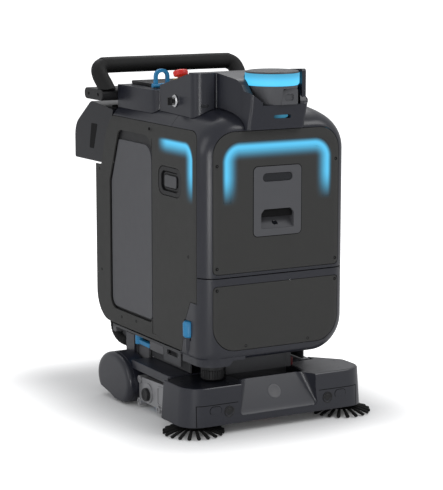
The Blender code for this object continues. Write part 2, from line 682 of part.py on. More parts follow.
def build_drive():
    """A drive wheel and the cover over it."""
    depth, height = WHEEL_AXIS
    wheel = turned("left_drive_wheel", [(0, 0.1925), (0.012, 0.1925), (0.012, 0.2030),
                                        (WHEEL_R - 0.006, 0.2030), (WHEEL_R, 0.2090),
                                        (WHEEL_R, 0.2380), (WHEEL_R - 0.006, 0.2440),
                                        (0.040, 0.2440), (0.034, 0.2380), (0, 0.2380)],
                   (0, depth, height), (-1, 0, 0), "black_rubber", 28)
    hang(wheel, (-0.22, depth, height))

    def oval(grow, x):
        ring = []
        for k in range(28):
            angle = 2 * math.pi * k / 28
            ring.append(place(x, depth + (0.090 + grow) * math.cos(angle),
                              0.060 + (0.072 + grow) * math.sin(angle)))
        return ring

    cover = loft("left_wheel_cover", [oval(0, -0.1965), oval(0, -0.2520), oval(-0.003, -0.2575),
                                      oval(-0.010, -0.2600)], "shell_paint")
    cut(cover, loft("cut", [oval(-0.004, -0.1900), oval(-0.004, -0.2500)]))
    below = prism("cut", [(0.30, 0.007), (0.440, 0.007), (0.470, 0.016), (0.540, 0.028),
                          (0.60, 0.050), (0.60, -0.05), (0.30, -0.05)], "x", -0.28, -0.18)
    cut(cover, below)
    stay = box("stay", (-0.1990, depth - 0.025, 0.1280), (-0.1925, depth + 0.025, 0.1800))
    join(cover, stay)
    return wheel, cover


def build_caster():
    """One swivelling wheel behind the bumper, in the middle."""
    top = 0.0755
    fork = drum("caster_fork", (0, CASTER_DEPTH, 0), (0, 0, 1), 0.020, top - 0.008, top,
                "coated_steel", 16)
    wheel_depth = CASTER_DEPTH + CASTER_TRAIL
    for side in (-1, 1):
        ends = sorted((side * 0.0175, side * 0.0215))
        cheek = prism("cheek", fillet([(wheel_depth - 0.010, 0.020, 0.008),
                                       (wheel_depth + 0.010, 0.020, 0.008),
                                       (wheel_depth + 0.004, top - 0.002),
                                       (CASTER_DEPTH - 0.014, top - 0.002)], 3), "x", *ends)
        join(fork, cheek)
    join(fork, box("bridge", (-0.0215, CASTER_DEPTH - 0.014, top - 0.012),
                   (0.0215, CASTER_DEPTH + 0.016, top - 0.004)))
    hang(fork, (0, CASTER_DEPTH, top))
    wheel = turned("caster_wheel", [(0, -0.0165), (CASTER_R - 0.004, -0.0165), (CASTER_R, -0.012),
                                    (CASTER_R, 0.012), (CASTER_R - 0.004, 0.0165), (0, 0.0165)],
                   (0, wheel_depth, CASTER_R), (1, 0, 0), "caster_red", 20)
    hang(wheel, (0, wheel_depth, CASTER_R))
    return fork, wheel


def squeegee_arc(low, high, inset, steps=10, half=0.185):
    """A strip in plan, bowed towards the rear, between two depths."""
    def bow(x):
        return 0.014 * (x / half) ** 2
    front = [(half * (2 * k / steps - 1) * inset, low) for k in range(steps + 1)]
    back = [(half * (1 - 2 * k / steps) * inset, high) for k in range(steps + 1)]
    return [(x, depth - bow(x)) for x, depth in front + back]


def build_squeegee():
    carrier = prism("squeegee_carrier", squeegee_arc(0.606, 0.650, 1.0), "z", 0.030, 0.052,
                    "coated_steel")
    join(carrier, drum("port", (-0.060, 0.628, 0), (0, 0, 1), 0.014, 0.045, 0.078, steps=16))
    for side in (-1, 1):
        ends = sorted((side * 0.0405, side * 0.0635))
        join(carrier, prism("arm", fillet([(0.520, 0.088, 0.007), (0.543, 0.109, 0.007),
                                           (0.612, 0.060), (0.612, 0.036)], 3), "x", *ends))
        join(carrier, drum("pin", (0, *SQUEEGEE_PIVOT), (side, 0, 0), 0.0040, 0.060, 0.0745, steps=12))
    blade = prism("squeegee_blade", squeegee_arc(0.612, 0.644, 0.985), "z", 0.0006, 0.0296,
                  "black_rubber")
    cut(blade, prism("cut", squeegee_arc(0.616, 0.640, 0.960), "z", -0.01, 0.040))
    for part in (carrier, blade):
        hang(part, (0, *SQUEEGEE_PIVOT))
    return carrier, blade


HOSE_ROUTE = [(-0.164, 0.500, 0.3640), (-0.166, 0.506, 0.345), (-0.174, 0.560, 0.280),
              (-0.178, 0.598, 0.220), (-0.178, 0.600, 0.188), (-0.178, 0.590, 0.162),
              (-0.177, 0.562, 0.146), (-0.168, 0.540, 0.139), (-0.145, 0.540, 0.126),
              (-0.112, 0.566, 0.110), (-0.084, 0.600, 0.106), (-0.066, 0.620, 0.104),
              (-0.060, 0.628, 0.100), (-0.060, 0.628, 0.096)]


def build_hose():
    """The suction hose, down through the floor plate to a wide cuff over the squeegee's port."""
    hose = tube("suction_hose", HOSE_ROUTE, 0.0150, "black_rubber", 8, 2)
    cuff = turned("cuff", [(0, 0.0990), (0.0235, 0.0960), (0.0235, 0.0730), (0.0270, 0.0730),
                           (0.0270, 0.1000), (0, 0.1060)], (-0.060, 0.628, 0), (0, 0, 1), None, 16)
    return join(hose, cuff)


def build_valve():
    """A quarter-turn water valve under the body, with its blue lever."""
    pivot = (-0.192, 0.420, 0.170)
    lever = drum("valve_lever", (pivot[0], pivot[1], 0), (0, 0, 1), 0.011, 0.158, 0.1845,
                 "service_blue", 16)
    join(lever, prism("paddle", fillet([(-0.198, 0.415), (-0.186, 0.415), (-0.184, 0.345, 0.005),
                                        (-0.200, 0.345, 0.005)], 3), "z", 0.160, 0.172))
    return hang(lever, pivot)


def build_filter():
    """The clean-water filter's bowl, under the leg."""
    return turned("solution_filter", [(0, 0.1300), (0.027, 0.1300), (0.031, 0.134), (0.031, 0.1660),
                                      (0.024, 0.1725), (0, 0.1725)],
                  (-0.155, 0.068, 0), (0, 0, 1), "black_plastic", 20)


def build_drain_cap():
    """The blue cap that closes the drain hose in the bay beside the leg."""
    cap = turned("drain_cap", [(0, 0.2440), (0.0125, 0.2440), (0.0155, 0.2480), (0.0165, 0.2800),
                               (0.0130, 0.2860), (0, 0.2880)],
                 (-0.2135, 0.086, 0), (0, 0, 1), "service_blue", 16)
    return hang(cap, (-0.2135, 0.086, 0.266))


# ---- Top of the machine

def head_plan(z):
    """The head in plan at a height: tower on the left, sweep to the beacon's foot in front."""
    foot = max(0.0, min(1.0, (0.85 - z) / 0.06))
    return fillet([(-0.180, 0.310), (-0.184, 0.138, 0.010), (-0.186, 0.100, 0.012),
                   (-0.131, 0.100, 0.004), (-0.121, 0.112, 0.004), (-0.094 - 0.010 * foot, 0.030, 0.05),
                   (-0.086 - 0.010 * foot, -0.018, 0.010), (0.082 - 0.012 * foot, -0.018, 0.010),
                   (0.092 - 0.008 * foot, 0.080, 0.02), (0.105, 0.180, 0.03), (0.180, 0.215, 0.02),
                   (0.180, 0.310)], 4)


def build_head():
    """The head: tower, sweep, beacon foot and the fin beside the beacon."""
    levels = (0.786, 0.800, 0.846, 0.9255)
    head = loft("head_shell", [[place(a, b, z) for a, b in head_plan(z)] for z in levels],
                "shell_paint")
    sweep = fillet([(-0.10, 0.8465), (-0.008, 0.8465, 0.03), (0.050, 0.905, 0.05),
                    (0.112, 0.9256), (0.112, 0.97), (-0.10, 0.97)], 6)
    cut(head, prism("cut", sweep, "x", -0.128, 0.30))
    cut(head, prism("cut", [(0.140, 0.9222), (0.40, 0.8595), (0.40, 0.97), (0.140, 0.97)],
                    "x", -0.30, 0.30))
    cut(head, drum("cut", (*POD, 0), (0, 0, 1), 0.0730, 0.8465, 0.97, steps=28))
    fin = prism("fin", fillet([(0.000, 0.840), (0.064, 0.840), (0.064, 0.9310, 0.004),
                               (0.000, 0.9355, 0.006)], 3), "x", 0.0720, 0.0835)
    join(head, fin)
    bulge = prism("bulge", fillet([(0.078, 0.836), (0.0910, 0.848, 0.004), (0.0910, 0.857, 0.004),
                                   (0.078, 0.872)], 3), "y", 0.002, 0.060)
    join(head, bulge)
    cut(head, prism("cut", fillet([(-0.023, 0.8125, 0.004), (0.028, 0.8125, 0.004),
                                   (0.028, 0.8215, 0.004), (-0.023, 0.8215, 0.004)], 3),
                    "y", -0.05, -0.006))
    cut(head, body_block(GAP, 0.9))
    return head


def build_beacon():
    pod = turned("lidar_pod", [(0, 0.8470), (0.052, 0.8470), (0.066, 0.8900), (0.066, 0.8950),
                               (0, 0.8950)], (*POD, 0), (0, 0, 1), "insert_gray", 28)
    ring = turned("lidar_ring", [(0, 0.8953), (0.0665, 0.8953), (0.0700, 0.9000), (0.0705, 0.9265),
                                 (0, 0.9265)], (*POD, 0), (0, 0, 1), "light_cyan", 28)
    cap = turned("lidar_cap", [(0, 0.9268), (0.0700, 0.9268), (0.0680, 0.9310), (0.0600, 0.9325),
                               (0, 0.9325)], (*POD, 0), (0, 0, 1), "shell_paint", 28)
    eye = prism("pod_camera", fillet([(-0.004, 0.8470), (0.045, 0.8470, 0.004), (0.045, 0.8880, 0.006),
                                      (-0.004, 0.8880, 0.018)], 4), "y", -0.0165, 0.004,
                "insert_gray")
    cut(pod, box("cut", (-0.0044, -0.05, 0.84), (0.0454, 0.0045, 0.8884)))
    cut(eye, prism("cut", rectangle(0.006, 0.857, 0.032, 0.874, 0.005, 3), "y", -0.03, -0.0125))
    return pod, ring, cap, eye


def build_controls():
    """The emergency stop on the tower's sloping top, and the key switch on its side."""
    slope = math.atan(0.2412)
    up = Vector((0, math.sin(slope), math.cos(slope)))
    centre = (-0.1545, 0.236, 0.9222 - 0.096 * 0.2412)
    base = turned("estop_base", [(0, 0.0006), (0.0215, 0.0006), (0.0215, 0.0050), (0.0150, 0.0072),
                                 (0.0106, 0.0072), (0.0106, 0.0016), (0, 0.0016)],
                  centre, up, "stop_yellow", 24)
    button = turned("estop_button", [(0, 0.0068), (0.0100, 0.0068), (0.0100, 0.0125),
                                     (0.0190, 0.0145), (0.0200, 0.0225), (0.0170, 0.0265),
                                     (0, 0.0282)], centre, up, "stop_red", 24)
    hang(button, centre)
    bezel = turned("key_bezel", [(0.0055, 0.0000), (0.0165, 0.0000), (0.0165, 0.0030),
                                 (0.0125, 0.0055), (0.0055, 0.0055)],
                   (-0.1830, 0.218, 0.846), (-1, 0, 0), "steel", 20)
    key = drum("key", (-0.1830, 0.218, 0.846), (-1, 0, 0), 0.0050, 0.0005, 0.0080,
               "black_plastic", 12)
    join(key, box("bow", (-0.2050, 0.2165, 0.836), (-0.1900, 0.2195, 0.856)))
    hang(key, (-0.1830, 0.218, 0.846))
    return base, button, bezel, key


def build_rear_deck():
    """The low housing behind the tower that carries the handle's brackets and the tank lid."""
    deck = prism("rear_deck", fillet([(-0.190, 0.550, 0.006), (-0.190, 0.3105, 0.030),
                                      (0.190, 0.3105, 0.030), (0.190, 0.550, 0.006)], 4),
                 "z", 0.80, 0.8670, "shell_paint")
    cut(deck, body_block(GAP, 0.9))
    cut(deck, box("cut", (-0.125, 0.405, 0.80), (0.125, 0.535, 0.90)))
    lid = prism("tank_lid", rectangle(-0.150, 0.388, 0.150, 0.548, 0.012, 3),
                "z", 0.8675, 0.8765, "black_plastic")
    plug = prism("plug", rectangle(-0.121, 0.409, 0.121, 0.531, 0.006, 2), "z", 0.858, 0.870)
    join(lid, plug)
    hang(lid, (0, 0.549, 0.869))
    latch = prism("lid_latch", fillet([(-0.166, 0.8750), (-0.166, 0.9190, 0.019),
                                       (-0.122, 0.9190, 0.019), (-0.122, 0.8750),
                                       (-0.131, 0.8750), (-0.131, 0.9100, 0.011),
                                       (-0.157, 0.9100, 0.011), (-0.157, 0.8750)], 4),
                  "y", 0.3650, 0.3750, "service_blue")
    join(latch, drum("barrel", (0, 0.370, 0.8745), (1, 0, 0), 0.0062, -0.172, -0.116, steps=16))
    hang(latch, (-0.144, 0.370, 0.8745))
    return deck, lid, latch


def build_handle():
    route = [(-0.2110, 0.5570, 0.8420), (-0.2140, 0.5750, 0.8630), (-0.2185, 0.5950, 0.8865),
             (-0.2150, 0.6110, 0.9045), (-0.2010, 0.6185, 0.9135), (-0.1780, 0.6200, 0.9155),
             (0.0, 0.6200, 0.9155)]
    other = [(-x, depth, height) for x, depth, height in reversed(route[:-1])]
    bar = tube("handle_bar", route + other, HANDLE_R, "handle_foam", 16, 2)
    cut(bar, box("cut", (-0.3, 0.5, 0.80), (0.3, 0.7, 0.8536)))
    bracket = prism("left_handle_bracket",
                    fillet([(0.5520, 0.8215, 0.012), (0.6680, 0.8215, 0.014),
                            (0.6680, 0.8530, 0.014), (0.5520, 0.8530, 0.012)], 4),
                    "x", -0.2350, -0.1300, "black_plastic")
    return bar, bracket


def build_console():
    """The console behind the body: a hollow housing with the touchscreen on its sloping back."""
    housing = prism("console_housing", console_outline(0), "x", -0.2040, 0.2040, "shell_paint")
    hollow = fillet([(0.45, 0.782), (0.40, 0.646), (0.7975, 0.6445, 0.004),
                     (0.7975, 0.7326, 0.056), (0.6889, 0.8073, 0.036)], 5)
    cut(housing, prism("cut", hollow, "x", -0.1995, 0.1995))
    middle = Vector((0.0, 0.7391, 0.7782))
    normal = Vector((0.0, math.sin(SCREEN_TILT), math.cos(SCREEN_TILT)))
    along = Vector((0.0, math.cos(SCREEN_TILT), -math.sin(SCREEN_TILT)))

    def slab(name, half_w, half_h, low, high, look=None):
        rings = []
        for lift in (low, high):
            ring = []
            for a, b in rectangle(-half_w, -half_h, half_w, half_h, 0.004, 2):
                point = middle + along * b + normal * lift
                ring.append(place(a, point.y, point.z))
            rings.append(ring)
        return loft(name, rings, look)

    join(housing, slab("screen_back", 0.110, 0.0500, -0.0180, -0.0030))
    cut(housing, slab("cut", 0.0900, 0.0425, -0.0120, 0.0500))
    screen = slab("touchscreen", 0.0893, 0.0418, -0.0117, -0.0010, "dark_glass")
    return housing, screen


build_upper_shell()
build_lower_shell()
build_front_panels()
build_sensor_plate()
build_side(left=True)
build_side(left=False)
build_rear_panel()
build_inside()
build_chassis()
build_deck_cover()
build_bumper()
build_bumper_top()
build_scrub_deck()
build_side_brush("left_side_brush", -SIDE_BRUSH[0])
build_side_brush("right_side_brush", SIDE_BRUSH[0])
mirrored(build_brush_motor(), "right_brush_motor")
left_wheel, left_cover = build_drive()
hang(mirrored(left_wheel, "right_drive_wheel"), (0.22, *WHEEL_AXIS))
mirrored(left_cover, "right_wheel_cover")
build_caster()
build_squeegee()
build_hose()
build_valve()
build_filter()
build_drain_cap()
build_head()
build_beacon()
build_controls()
build_rear_deck()
handle, left_bracket = build_handle()
mirrored(left_bracket, "right_handle_bracket")
build_console()

for part in bpy.data.objects:
    part.data.set_sharp_from_angle(angle=math.radians(35))
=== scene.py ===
"""The visual model of the robotic floor scrubber: finer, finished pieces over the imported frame.
Metres, +Z up. Depths run back from the body's front plane, so a point is (x, depth, height)."""

import json
import math

import bmesh
import bpy
from mathutils import Matrix, Vector

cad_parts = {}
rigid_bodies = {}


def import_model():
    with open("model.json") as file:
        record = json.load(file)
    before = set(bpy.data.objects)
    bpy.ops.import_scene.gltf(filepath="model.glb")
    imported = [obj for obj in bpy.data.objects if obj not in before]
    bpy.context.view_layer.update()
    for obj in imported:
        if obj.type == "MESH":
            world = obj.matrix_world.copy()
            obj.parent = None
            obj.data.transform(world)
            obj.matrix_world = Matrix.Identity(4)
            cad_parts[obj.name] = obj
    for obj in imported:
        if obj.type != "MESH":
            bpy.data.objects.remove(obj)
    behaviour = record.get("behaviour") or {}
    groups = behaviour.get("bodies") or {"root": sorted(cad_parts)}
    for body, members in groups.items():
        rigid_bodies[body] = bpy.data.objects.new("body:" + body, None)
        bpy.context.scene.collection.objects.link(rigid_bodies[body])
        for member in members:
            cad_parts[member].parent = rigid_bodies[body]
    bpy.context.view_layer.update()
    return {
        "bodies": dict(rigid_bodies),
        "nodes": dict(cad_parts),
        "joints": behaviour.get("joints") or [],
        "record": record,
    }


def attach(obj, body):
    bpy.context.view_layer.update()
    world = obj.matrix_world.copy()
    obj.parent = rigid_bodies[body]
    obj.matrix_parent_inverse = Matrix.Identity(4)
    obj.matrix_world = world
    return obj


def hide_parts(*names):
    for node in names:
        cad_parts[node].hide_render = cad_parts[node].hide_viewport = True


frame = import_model()

SKIN_MARK = "_skin"  # ends the name of a piece that replaces the CAD node of the same name

# ---- Camera
AZIMUTH, ELEVATION = math.radians(-29.153), math.radians(9.712)
view_back = Vector((math.sin(AZIMUTH) * math.cos(ELEVATION),
    -math.cos(AZIMUTH) * math.cos(ELEVATION), math.sin(ELEVATION)))
camera = bpy.data.objects.new("camera", bpy.data.cameras.new("camera"))
camera.data.lens = 133.02
camera.data.clip_end = 60
camera.location = (-2.3801, -4.3510, 1.2734)
camera.rotation_euler = (-view_back).to_track_quat("-Z", "Y").to_euler()
bpy.context.scene.collection.objects.link(camera)
bpy.context.scene.camera = camera

# Driving dimensions
FRONT = -0.381  # y of the body's front plane
BODY_HALF_W = 0.2180
BODY_DEPTH = 0.634
BODY_TOP = 0.8365
BODY_LOW = 0.185
SEAM = 0.4075  # height of the joint between the upper and the lower front shell
EDGE_R = 0.05  # upright front edges
SHOULDER_DEPTH, SHOULDER_DROP = 0.16, 0.053
CHIN_DEPTH, CHIN_RISE = 0.035, 0.020
TOP_R = 0.106  # upper long edges
LOW_RIGHT_R, LOW_LEFT_R = 0.09, 0.02  # lower long edges
SKIN = 0.004  # thickness of shells and panels
GAP = 0.0014  # joint between neighbours
DECK_TOP = 0.1275
DECK_SKIN = 0.006
FRAME_LOW, FRAME_TOP = 0.1290, 0.1855
FLOOR_TOP = 0.192
RAIL_X = 0.100
BUMPER_HALF_W = 0.269
BUMPER_FRONT = -0.013
BUMPER_REAR = 0.125
BUMPER_LEAN = 0.007  # how far the sides lean out towards the floor
BUMPER_LOW = 0.026
SIDE_BRUSH = (0.226, 0.041)  # x and depth of the side brushes' shafts
SIDE_BRUSH_R = 0.081
TUFTS = 20
SCRUB_AXIS = (0.290, 0.047)  # depth and height of the scrub brush's shaft
SCRUB_R = 0.046
WHEEL_AXIS = (0.462, 0.062)  # depth and height of the drive wheels' shafts
WHEEL_R = 0.062
CASTER_DEPTH = 0.088
CASTER_R = 0.026
CASTER_TRAIL = 0.014  # how far the wheel stands behind the swivel
SQUEEGEE_PIVOT = (0.535, 0.095)  # depth and height of its pins
DRAIN = (-0.2135, 0.086, 0)  # the drain cap in plan
PORT = (-0.060, 0.628, 0)  # the squeegee's suction port in plan
FILTER = (-0.155, 0.068, 0)  # the filter bowl in plan
HOSE_EXIT = (-0.178, 0.600, 0)  # where the hose passes the rear panel
POD = (0.0, 0.03)  # x and depth of the beacon's centre
CAP_X, PLUG_X = 0.150, 0.190  # the bumper's sensor caps and oval plugs
SCOOP_LOW = 0.044  # height of the hollow's lower edge in the bumper
SCOOP_DEEP = 0.032  # depth of the hollow's floor at the bumper's top
HEAD_SLOPE = 0.2412  # fall of the tower's top towards the rear
HEAD_TOP, SLOPE_START = 0.9222, 0.140  # height and depth where that fall begins
KEY_CENTRE = (-0.1830, 0.218, 0.846)
DEPTHS = (0.0, 0.0006, 0.0022, 0.0048, 0.0085, 0.013, 0.0185, 0.025, 0.0325, 0.041, 0.05, 0.062,
          0.076, 0.092, 0.112, 0.135)  # where the body block has rings
HANDLE_R = 0.0225
SCREEN_TILT = math.radians(34.5)
ARC_STEPS = 10
ROUND = 64
UP, RIGHT, LEFT, AHEAD = (0, 0, 1), (1, 0, 0), (-1, 0, 0), (0, -1, 0)


def show(name, data):
    """A new object in the scene."""
    made = bpy.data.objects.new(name, data)
    bpy.context.scene.collection.objects.link(made)
    return made


def solid(name, points, faces):
    """An object from points and faces, its normals turned outwards."""
    mesh = bpy.data.meshes.new(name)
    mesh.from_pydata(points, [], faces)
    work = bmesh.new()
    work.from_mesh(mesh)
    bmesh.ops.recalc_face_normals(work, faces=work.faces)
    work.to_mesh(mesh)
    work.free()
    return show(name + SKIN_MARK, mesh)


def place(x, depth, height):
    return Vector((x, FRONT + depth, height))


def turns(count):
    """Angles evenly spaced round a circle."""
    return [2 * math.pi * k / count for k in range(count)]


def span(side, first, second):
    """Two distances from the middle plane as low and high x on one side."""
    return sorted((side * first, side * second))


def fillet(corners, steps=ARC_STEPS):
    """An outline from (a, b) or (a, b, radius) corners, with an arc at each radius."""
    outline = []
    count = len(corners)
    for i, corner in enumerate(corners):
        here = Vector(corner[:2])
        radius = corner[2] if len(corner) > 2 else 0.0
        if radius <= 0:
            outline.append(tuple(here))
            continue
        before = (Vector(corners[i - 1][:2]) - here).normalized()
        after = (Vector(corners[(i + 1) % count][:2]) - here).normalized()
        half = math.acos(max(-1, min(1, before.dot(after)))) / 2
        reach = radius / math.tan(half)
        centre = here + (before + after).normalized() * (radius / math.sin(half))
        first = here + before * reach - centre
        last = here + after * reach - centre
        sweep = math.copysign(math.pi - 2 * half, first.x * last.y - first.y * last.x)
        for k in range(steps + 1):
            angle = sweep * k / steps
            cos, sin = math.cos(angle), math.sin(angle)
            outline.append((centre.x + first.x * cos - first.y * sin,
                centre.y + first.x * sin + first.y * cos))
    return outline


def rectangle(low_a, low_b, high_a, high_b, radius=0.0, steps=ARC_STEPS):
    return fillet([(low_a, low_b, radius), (high_a, low_b, radius), (high_a, high_b, radius),
        (low_a, high_b, radius)], steps)


def loft(name, rings):
    """A closed solid through rings with equal numbers of points."""
    size = len(rings[0])
    points = [tuple(point) for ring in rings for point in ring]
    faces = [tuple(range(size))]
    for k in range(len(rings) - 1):
        start = k * size
        for i in range(size):
            j = (i + 1) % size
            faces.append((start + i, start + j, start + size + j, start + size + i))
    last = (len(rings) - 1) * size
    faces.append(tuple(range(last + size - 1, last - 1, -1)))
    return solid(name, points, faces)


def prism(name, outline, along, low, high):
    """An outline extruded along x, y (depth) or z between low and high."""
    lift = {"x": lambda a, b, c: place(c, a, b), "y": lambda a, b, c: place(a, c, b),
        "z": lambda a, b, c: place(a, b, c)}[along]
    return loft(name, [[lift(a, b, c) for a, b in outline] for c in (low, high)])


def box(name, low, high):
    return prism(name, rectangle(low[0], low[1], high[0], high[1]), "z", low[2], high[2])


def turned(name, profile, centre, axis, steps=ROUND):
    """A profile of (radius, distance along axis) turned about an axis; radius 0 closes an end."""
    axis = Vector(axis).normalized()
    side = axis.orthogonal().normalized()
    if abs(axis.z) > 0.9:
        side = Vector(RIGHT)
    other = axis.cross(side)
    centre = place(*centre)
    points, rows = [], []
    for radius, along in profile:
        if radius == 0:
            rows.append([len(points)])
            points.append(tuple(centre + axis * along))
            continue
        rows.append(list(range(len(points), len(points) + steps)))
        for angle in turns(steps):
            ray = side * math.cos(angle) + other * math.sin(angle)
            points.append(tuple(centre + axis * along + ray * radius))
    if len(rows[0]) > 1 and len(rows[-1]) > 1:
        rows.append(rows[0])
    faces = []
    for first, second in zip(rows, rows[1:]):
        for k in range(steps):
            m = (k + 1) % steps
            if len(first) == 1:
                faces.append((first[0], second[k], second[m]))
            elif len(second) == 1:
                faces.append((first[k], second[0], first[m]))
            else:
                faces.append((first[k], second[k], second[m], first[m]))
    return solid(name, points, faces)


def drum(name, centre, axis, radius, low, high, steps=ROUND):
    return turned(name, [(0, low), (radius, low), (radius, high), (0, high)], centre, axis, steps)


def tube(name, points, radius, sides, smooth):
    """A round tube along a smooth curve through points, with flat ends."""
    route = [place(*point) for point in points]
    path = []
    for i in range(len(route) - 1):
        before = route[max(i - 1, 0)]
        start, end = route[i], route[i + 1]
        after = route[min(i + 2, len(route) - 1)]
        for k in range(smooth):
            t = k / smooth
            path.append(0.5 * (2 * start + (end - before) * t + (2 * before - 5 * start + 4 * end
                - after) * t * t + (3 * start - before - 3 * end + after) * t ** 3))
    path.append(route[-1])
    rings = []
    heading = (path[1] - path[0]).normalized()
    side = heading.orthogonal().normalized()
    for i, point in enumerate(path):
        ahead = (path[min(i + 1, len(path) - 1)] - path[max(i - 1, 0)]).normalized()
        side = (side - ahead * side.dot(ahead)).normalized()
        other = ahead.cross(side)
        rings.append([point + (side * math.cos(angle) + other * math.sin(angle)) * radius
            for angle in turns(sides)])
    return loft(name, rings)


def combine(base, tool, operation):
    """Applies a Boolean at once and removes the tool."""
    change = base.modifiers.new("combine", "BOOLEAN")
    change.operation = operation
    change.object = tool
    graph = bpy.context.evaluated_depsgraph_get()
    made = bpy.data.meshes.new_from_object(base.evaluated_get(graph))
    base.modifiers.clear()
    base.data = made
    bpy.data.objects.remove(tool, do_unlink=True)
    return base


def cut(base, *tools):
    for tool in tools:
        combine(base, tool, "DIFFERENCE")
    return base


def carve(base, outline, along, low, high):
    """Cuts an extruded outline out of the base."""
    return cut(base, prism("cut", outline, along, low, high))


def join(base, *tools):
    for tool in tools:
        combine(base, tool, "UNION")
    return base


def keep(base, tool):
    return combine(base, tool, "INTERSECT")


def mirrored(part, name):
    """A copy of the part on the other side of the machine."""
    copy = part.data.copy()
    copy.name = name
    copy.transform(Matrix.Scale(-1, 4, RIGHT))
    copy.flip_normals()
    show(name + SKIN_MARK, copy)


# ---- The body's outer form


def eased(depth, reach, drop):
    """How far a rounded edge stands in at a depth, on an ellipse of reach by drop."""
    if depth >= reach:
        return 0.0
    return drop * (1 - math.sqrt(1 - (1 - depth / reach) ** 2))


def body_block(grow, back=BODY_DEPTH):
    """The whole body as one rounded block, grown outwards by grow."""
    rings = []
    for depth in (*DEPTHS, SHOULDER_DEPTH, back):
        side = BODY_HALF_W - eased(depth, EDGE_R, EDGE_R) + grow
        top = BODY_TOP - eased(depth, SHOULDER_DEPTH, SHOULDER_DROP) + grow
        low = BODY_LOW + eased(depth, CHIN_DEPTH, CHIN_RISE) - grow
        top_r = TOP_R - 0.5 * (BODY_HALF_W - side + BODY_TOP - top)
        outline = fillet([(-side, low, LOW_LEFT_R), (side, low, LOW_RIGHT_R), (side, top, top_r),
            (-side, top, top_r)], 14)
        start = depth - grow if depth < back else depth + max(0.0, grow)
        rings.append([place(a, start, b) for a, b in outline])
    return loft("block", rings)


def skin(outer, inner, window, name):
    """The layer of the body's form between two growths, inside a window prism."""
    layer = cut(body_block(outer), body_block(inner, BODY_DEPTH + 0.01))
    layer.name = name + SKIN_MARK
    return keep(layer, window)


def side_outline(grow):
    """A side panel seen from the side, grown by grow: depth and height."""
    return fillet([(0.04 - grow, 0.781 + grow, 0.05), (0.04 - grow, 0.34 - grow),
        (0.072 - grow, 0.34 - grow), (0.097 - grow, 0.293 - grow), (0.121 - grow, 0.201 - grow),
        (BODY_DEPTH + 2 * grow, 0.201 - grow, 0.08), (BODY_DEPTH + 2 * grow, 0.64 + grow),
        (0.599 + grow, 0.64 + grow), (0.548 + grow, 0.781 + grow)])


def upper_panel_outline(grow):
    return fillet([(-0.1875 - grow, 0.418 - grow, 0.012), (0.1875 + grow, 0.418 - grow, 0.012),
        (0.1875 + grow, 0.782 + grow, 0.06), (-0.1875 - grow, 0.782 + grow, 0.06)])


def lower_panel_outline(grow):
    return fillet([(-0.1875 - grow, 0.215 - grow, 0.065), (0.1875 + grow, 0.215 - grow, 0.065),
        (0.1875 + grow, 0.386 + grow, 0.012), (-0.1875 - grow, 0.386 + grow, 0.012)])


def front_strip_outline(grow):
    """The front light: an arch that follows the panel's top corners, in x and height."""
    out, thick, top, low = 0.16 + grow, 0.022 + 2 * grow, 0.756 + grow, 0.6 - grow
    return fillet([(-out, low), (-out, top, 0.045), (out, top, 0.045), (out, low),
        (out - thick, low), (out - thick, top - thick, 0.024), (thick - out, top - thick, 0.024),
        (thick - out, low)])


def side_strip_outline(grow):
    front, thick, top = 0.056 - grow, 0.018 + 2 * grow, 0.752 + grow
    return fillet([(front, 0.6 - grow), (front + thick, 0.6 - grow),
        (front + thick, top - thick, 0.022), (0.236 + grow, top - thick), (0.236 + grow, top),
        (front, top, 0.04)])


def console_outline(grow):
    """The operator's console seen from the side: depth and height."""
    return fillet([(0.5485 - grow, 0.797 + grow, 0.004), (0.5995 - grow, 0.642 - grow, 0.004),
        (0.802 + grow, 0.64 - grow, 0.006), (0.802 + grow, 0.735 + grow, 0.06),
        (0.69, 0.812 + grow, 0.04)], 5)


def side_camera_outline(grow):
    return rectangle(0.121 - grow, 0.602 - grow, 0.248 + grow, 0.677 + grow, 0.026 + grow)


def insert_outline(grow):
    return fillet([(0.297 - grow, 0.25 - grow, 0.012), (0.54 + grow, 0.25 - grow, 0.03),
        (0.54 + grow, 0.6), (0.491 + grow, 0.722 + grow, 0.012),
        (0.297 - grow, 0.722 + grow, 0.04)])


def insert_opening(grow):
    return fillet([(0.287 - grow, 0.243 - grow, 0.018), (0.546 + grow, 0.243 - grow, 0.034),
        (0.546 + grow, 0.604), (0.488 + grow, 0.748 + grow, 0.02),
        (0.287 - grow, 0.748 + grow, 0.045)])


# ---- Shells and panels of the body


def groove(part, window, depth):
    """Cuts a shallow line where a window meets the body's outer surface."""
    tool = cut(body_block(0.004), body_block(-depth, BODY_DEPTH + 0.01))
    return cut(part, keep(tool, window))


def build_upper_shell():
    """The hood: front frame, shoulders and top, open to the rear and below."""
    window = prism("window", rectangle(-0.3, SEAM + GAP, 0.3, 1.0), "y", -0.05, 0.6)
    shell = skin(0.0, -0.005, window, "upper_shell")
    carve(shell, upper_panel_outline(GAP), "y", -0.02, 0.045)
    for low, high in ((-0.3, -0.17), (0.17, 0.3)):
        carve(shell, side_outline(GAP), "x", low, high)
    carve(shell, [(0.62, 0.3), (0.62, 0.9), (0.5285, 0.9), (0.548, 0.781), (0.5985, 0.6395),
        (0.5985, 0.3)], "x", -0.3, 0.3)
    cut(shell, box("cut", (-0.125, 0.405, 0.8), (0.125, 0.535, 0.86)))
    groove(shell, prism("window", [(0.1985, 0.7), (0.1997, 0.7), (0.1997, 0.9), (0.1985, 0.9)],
        "x", -0.3, 0.3), 0.0012)


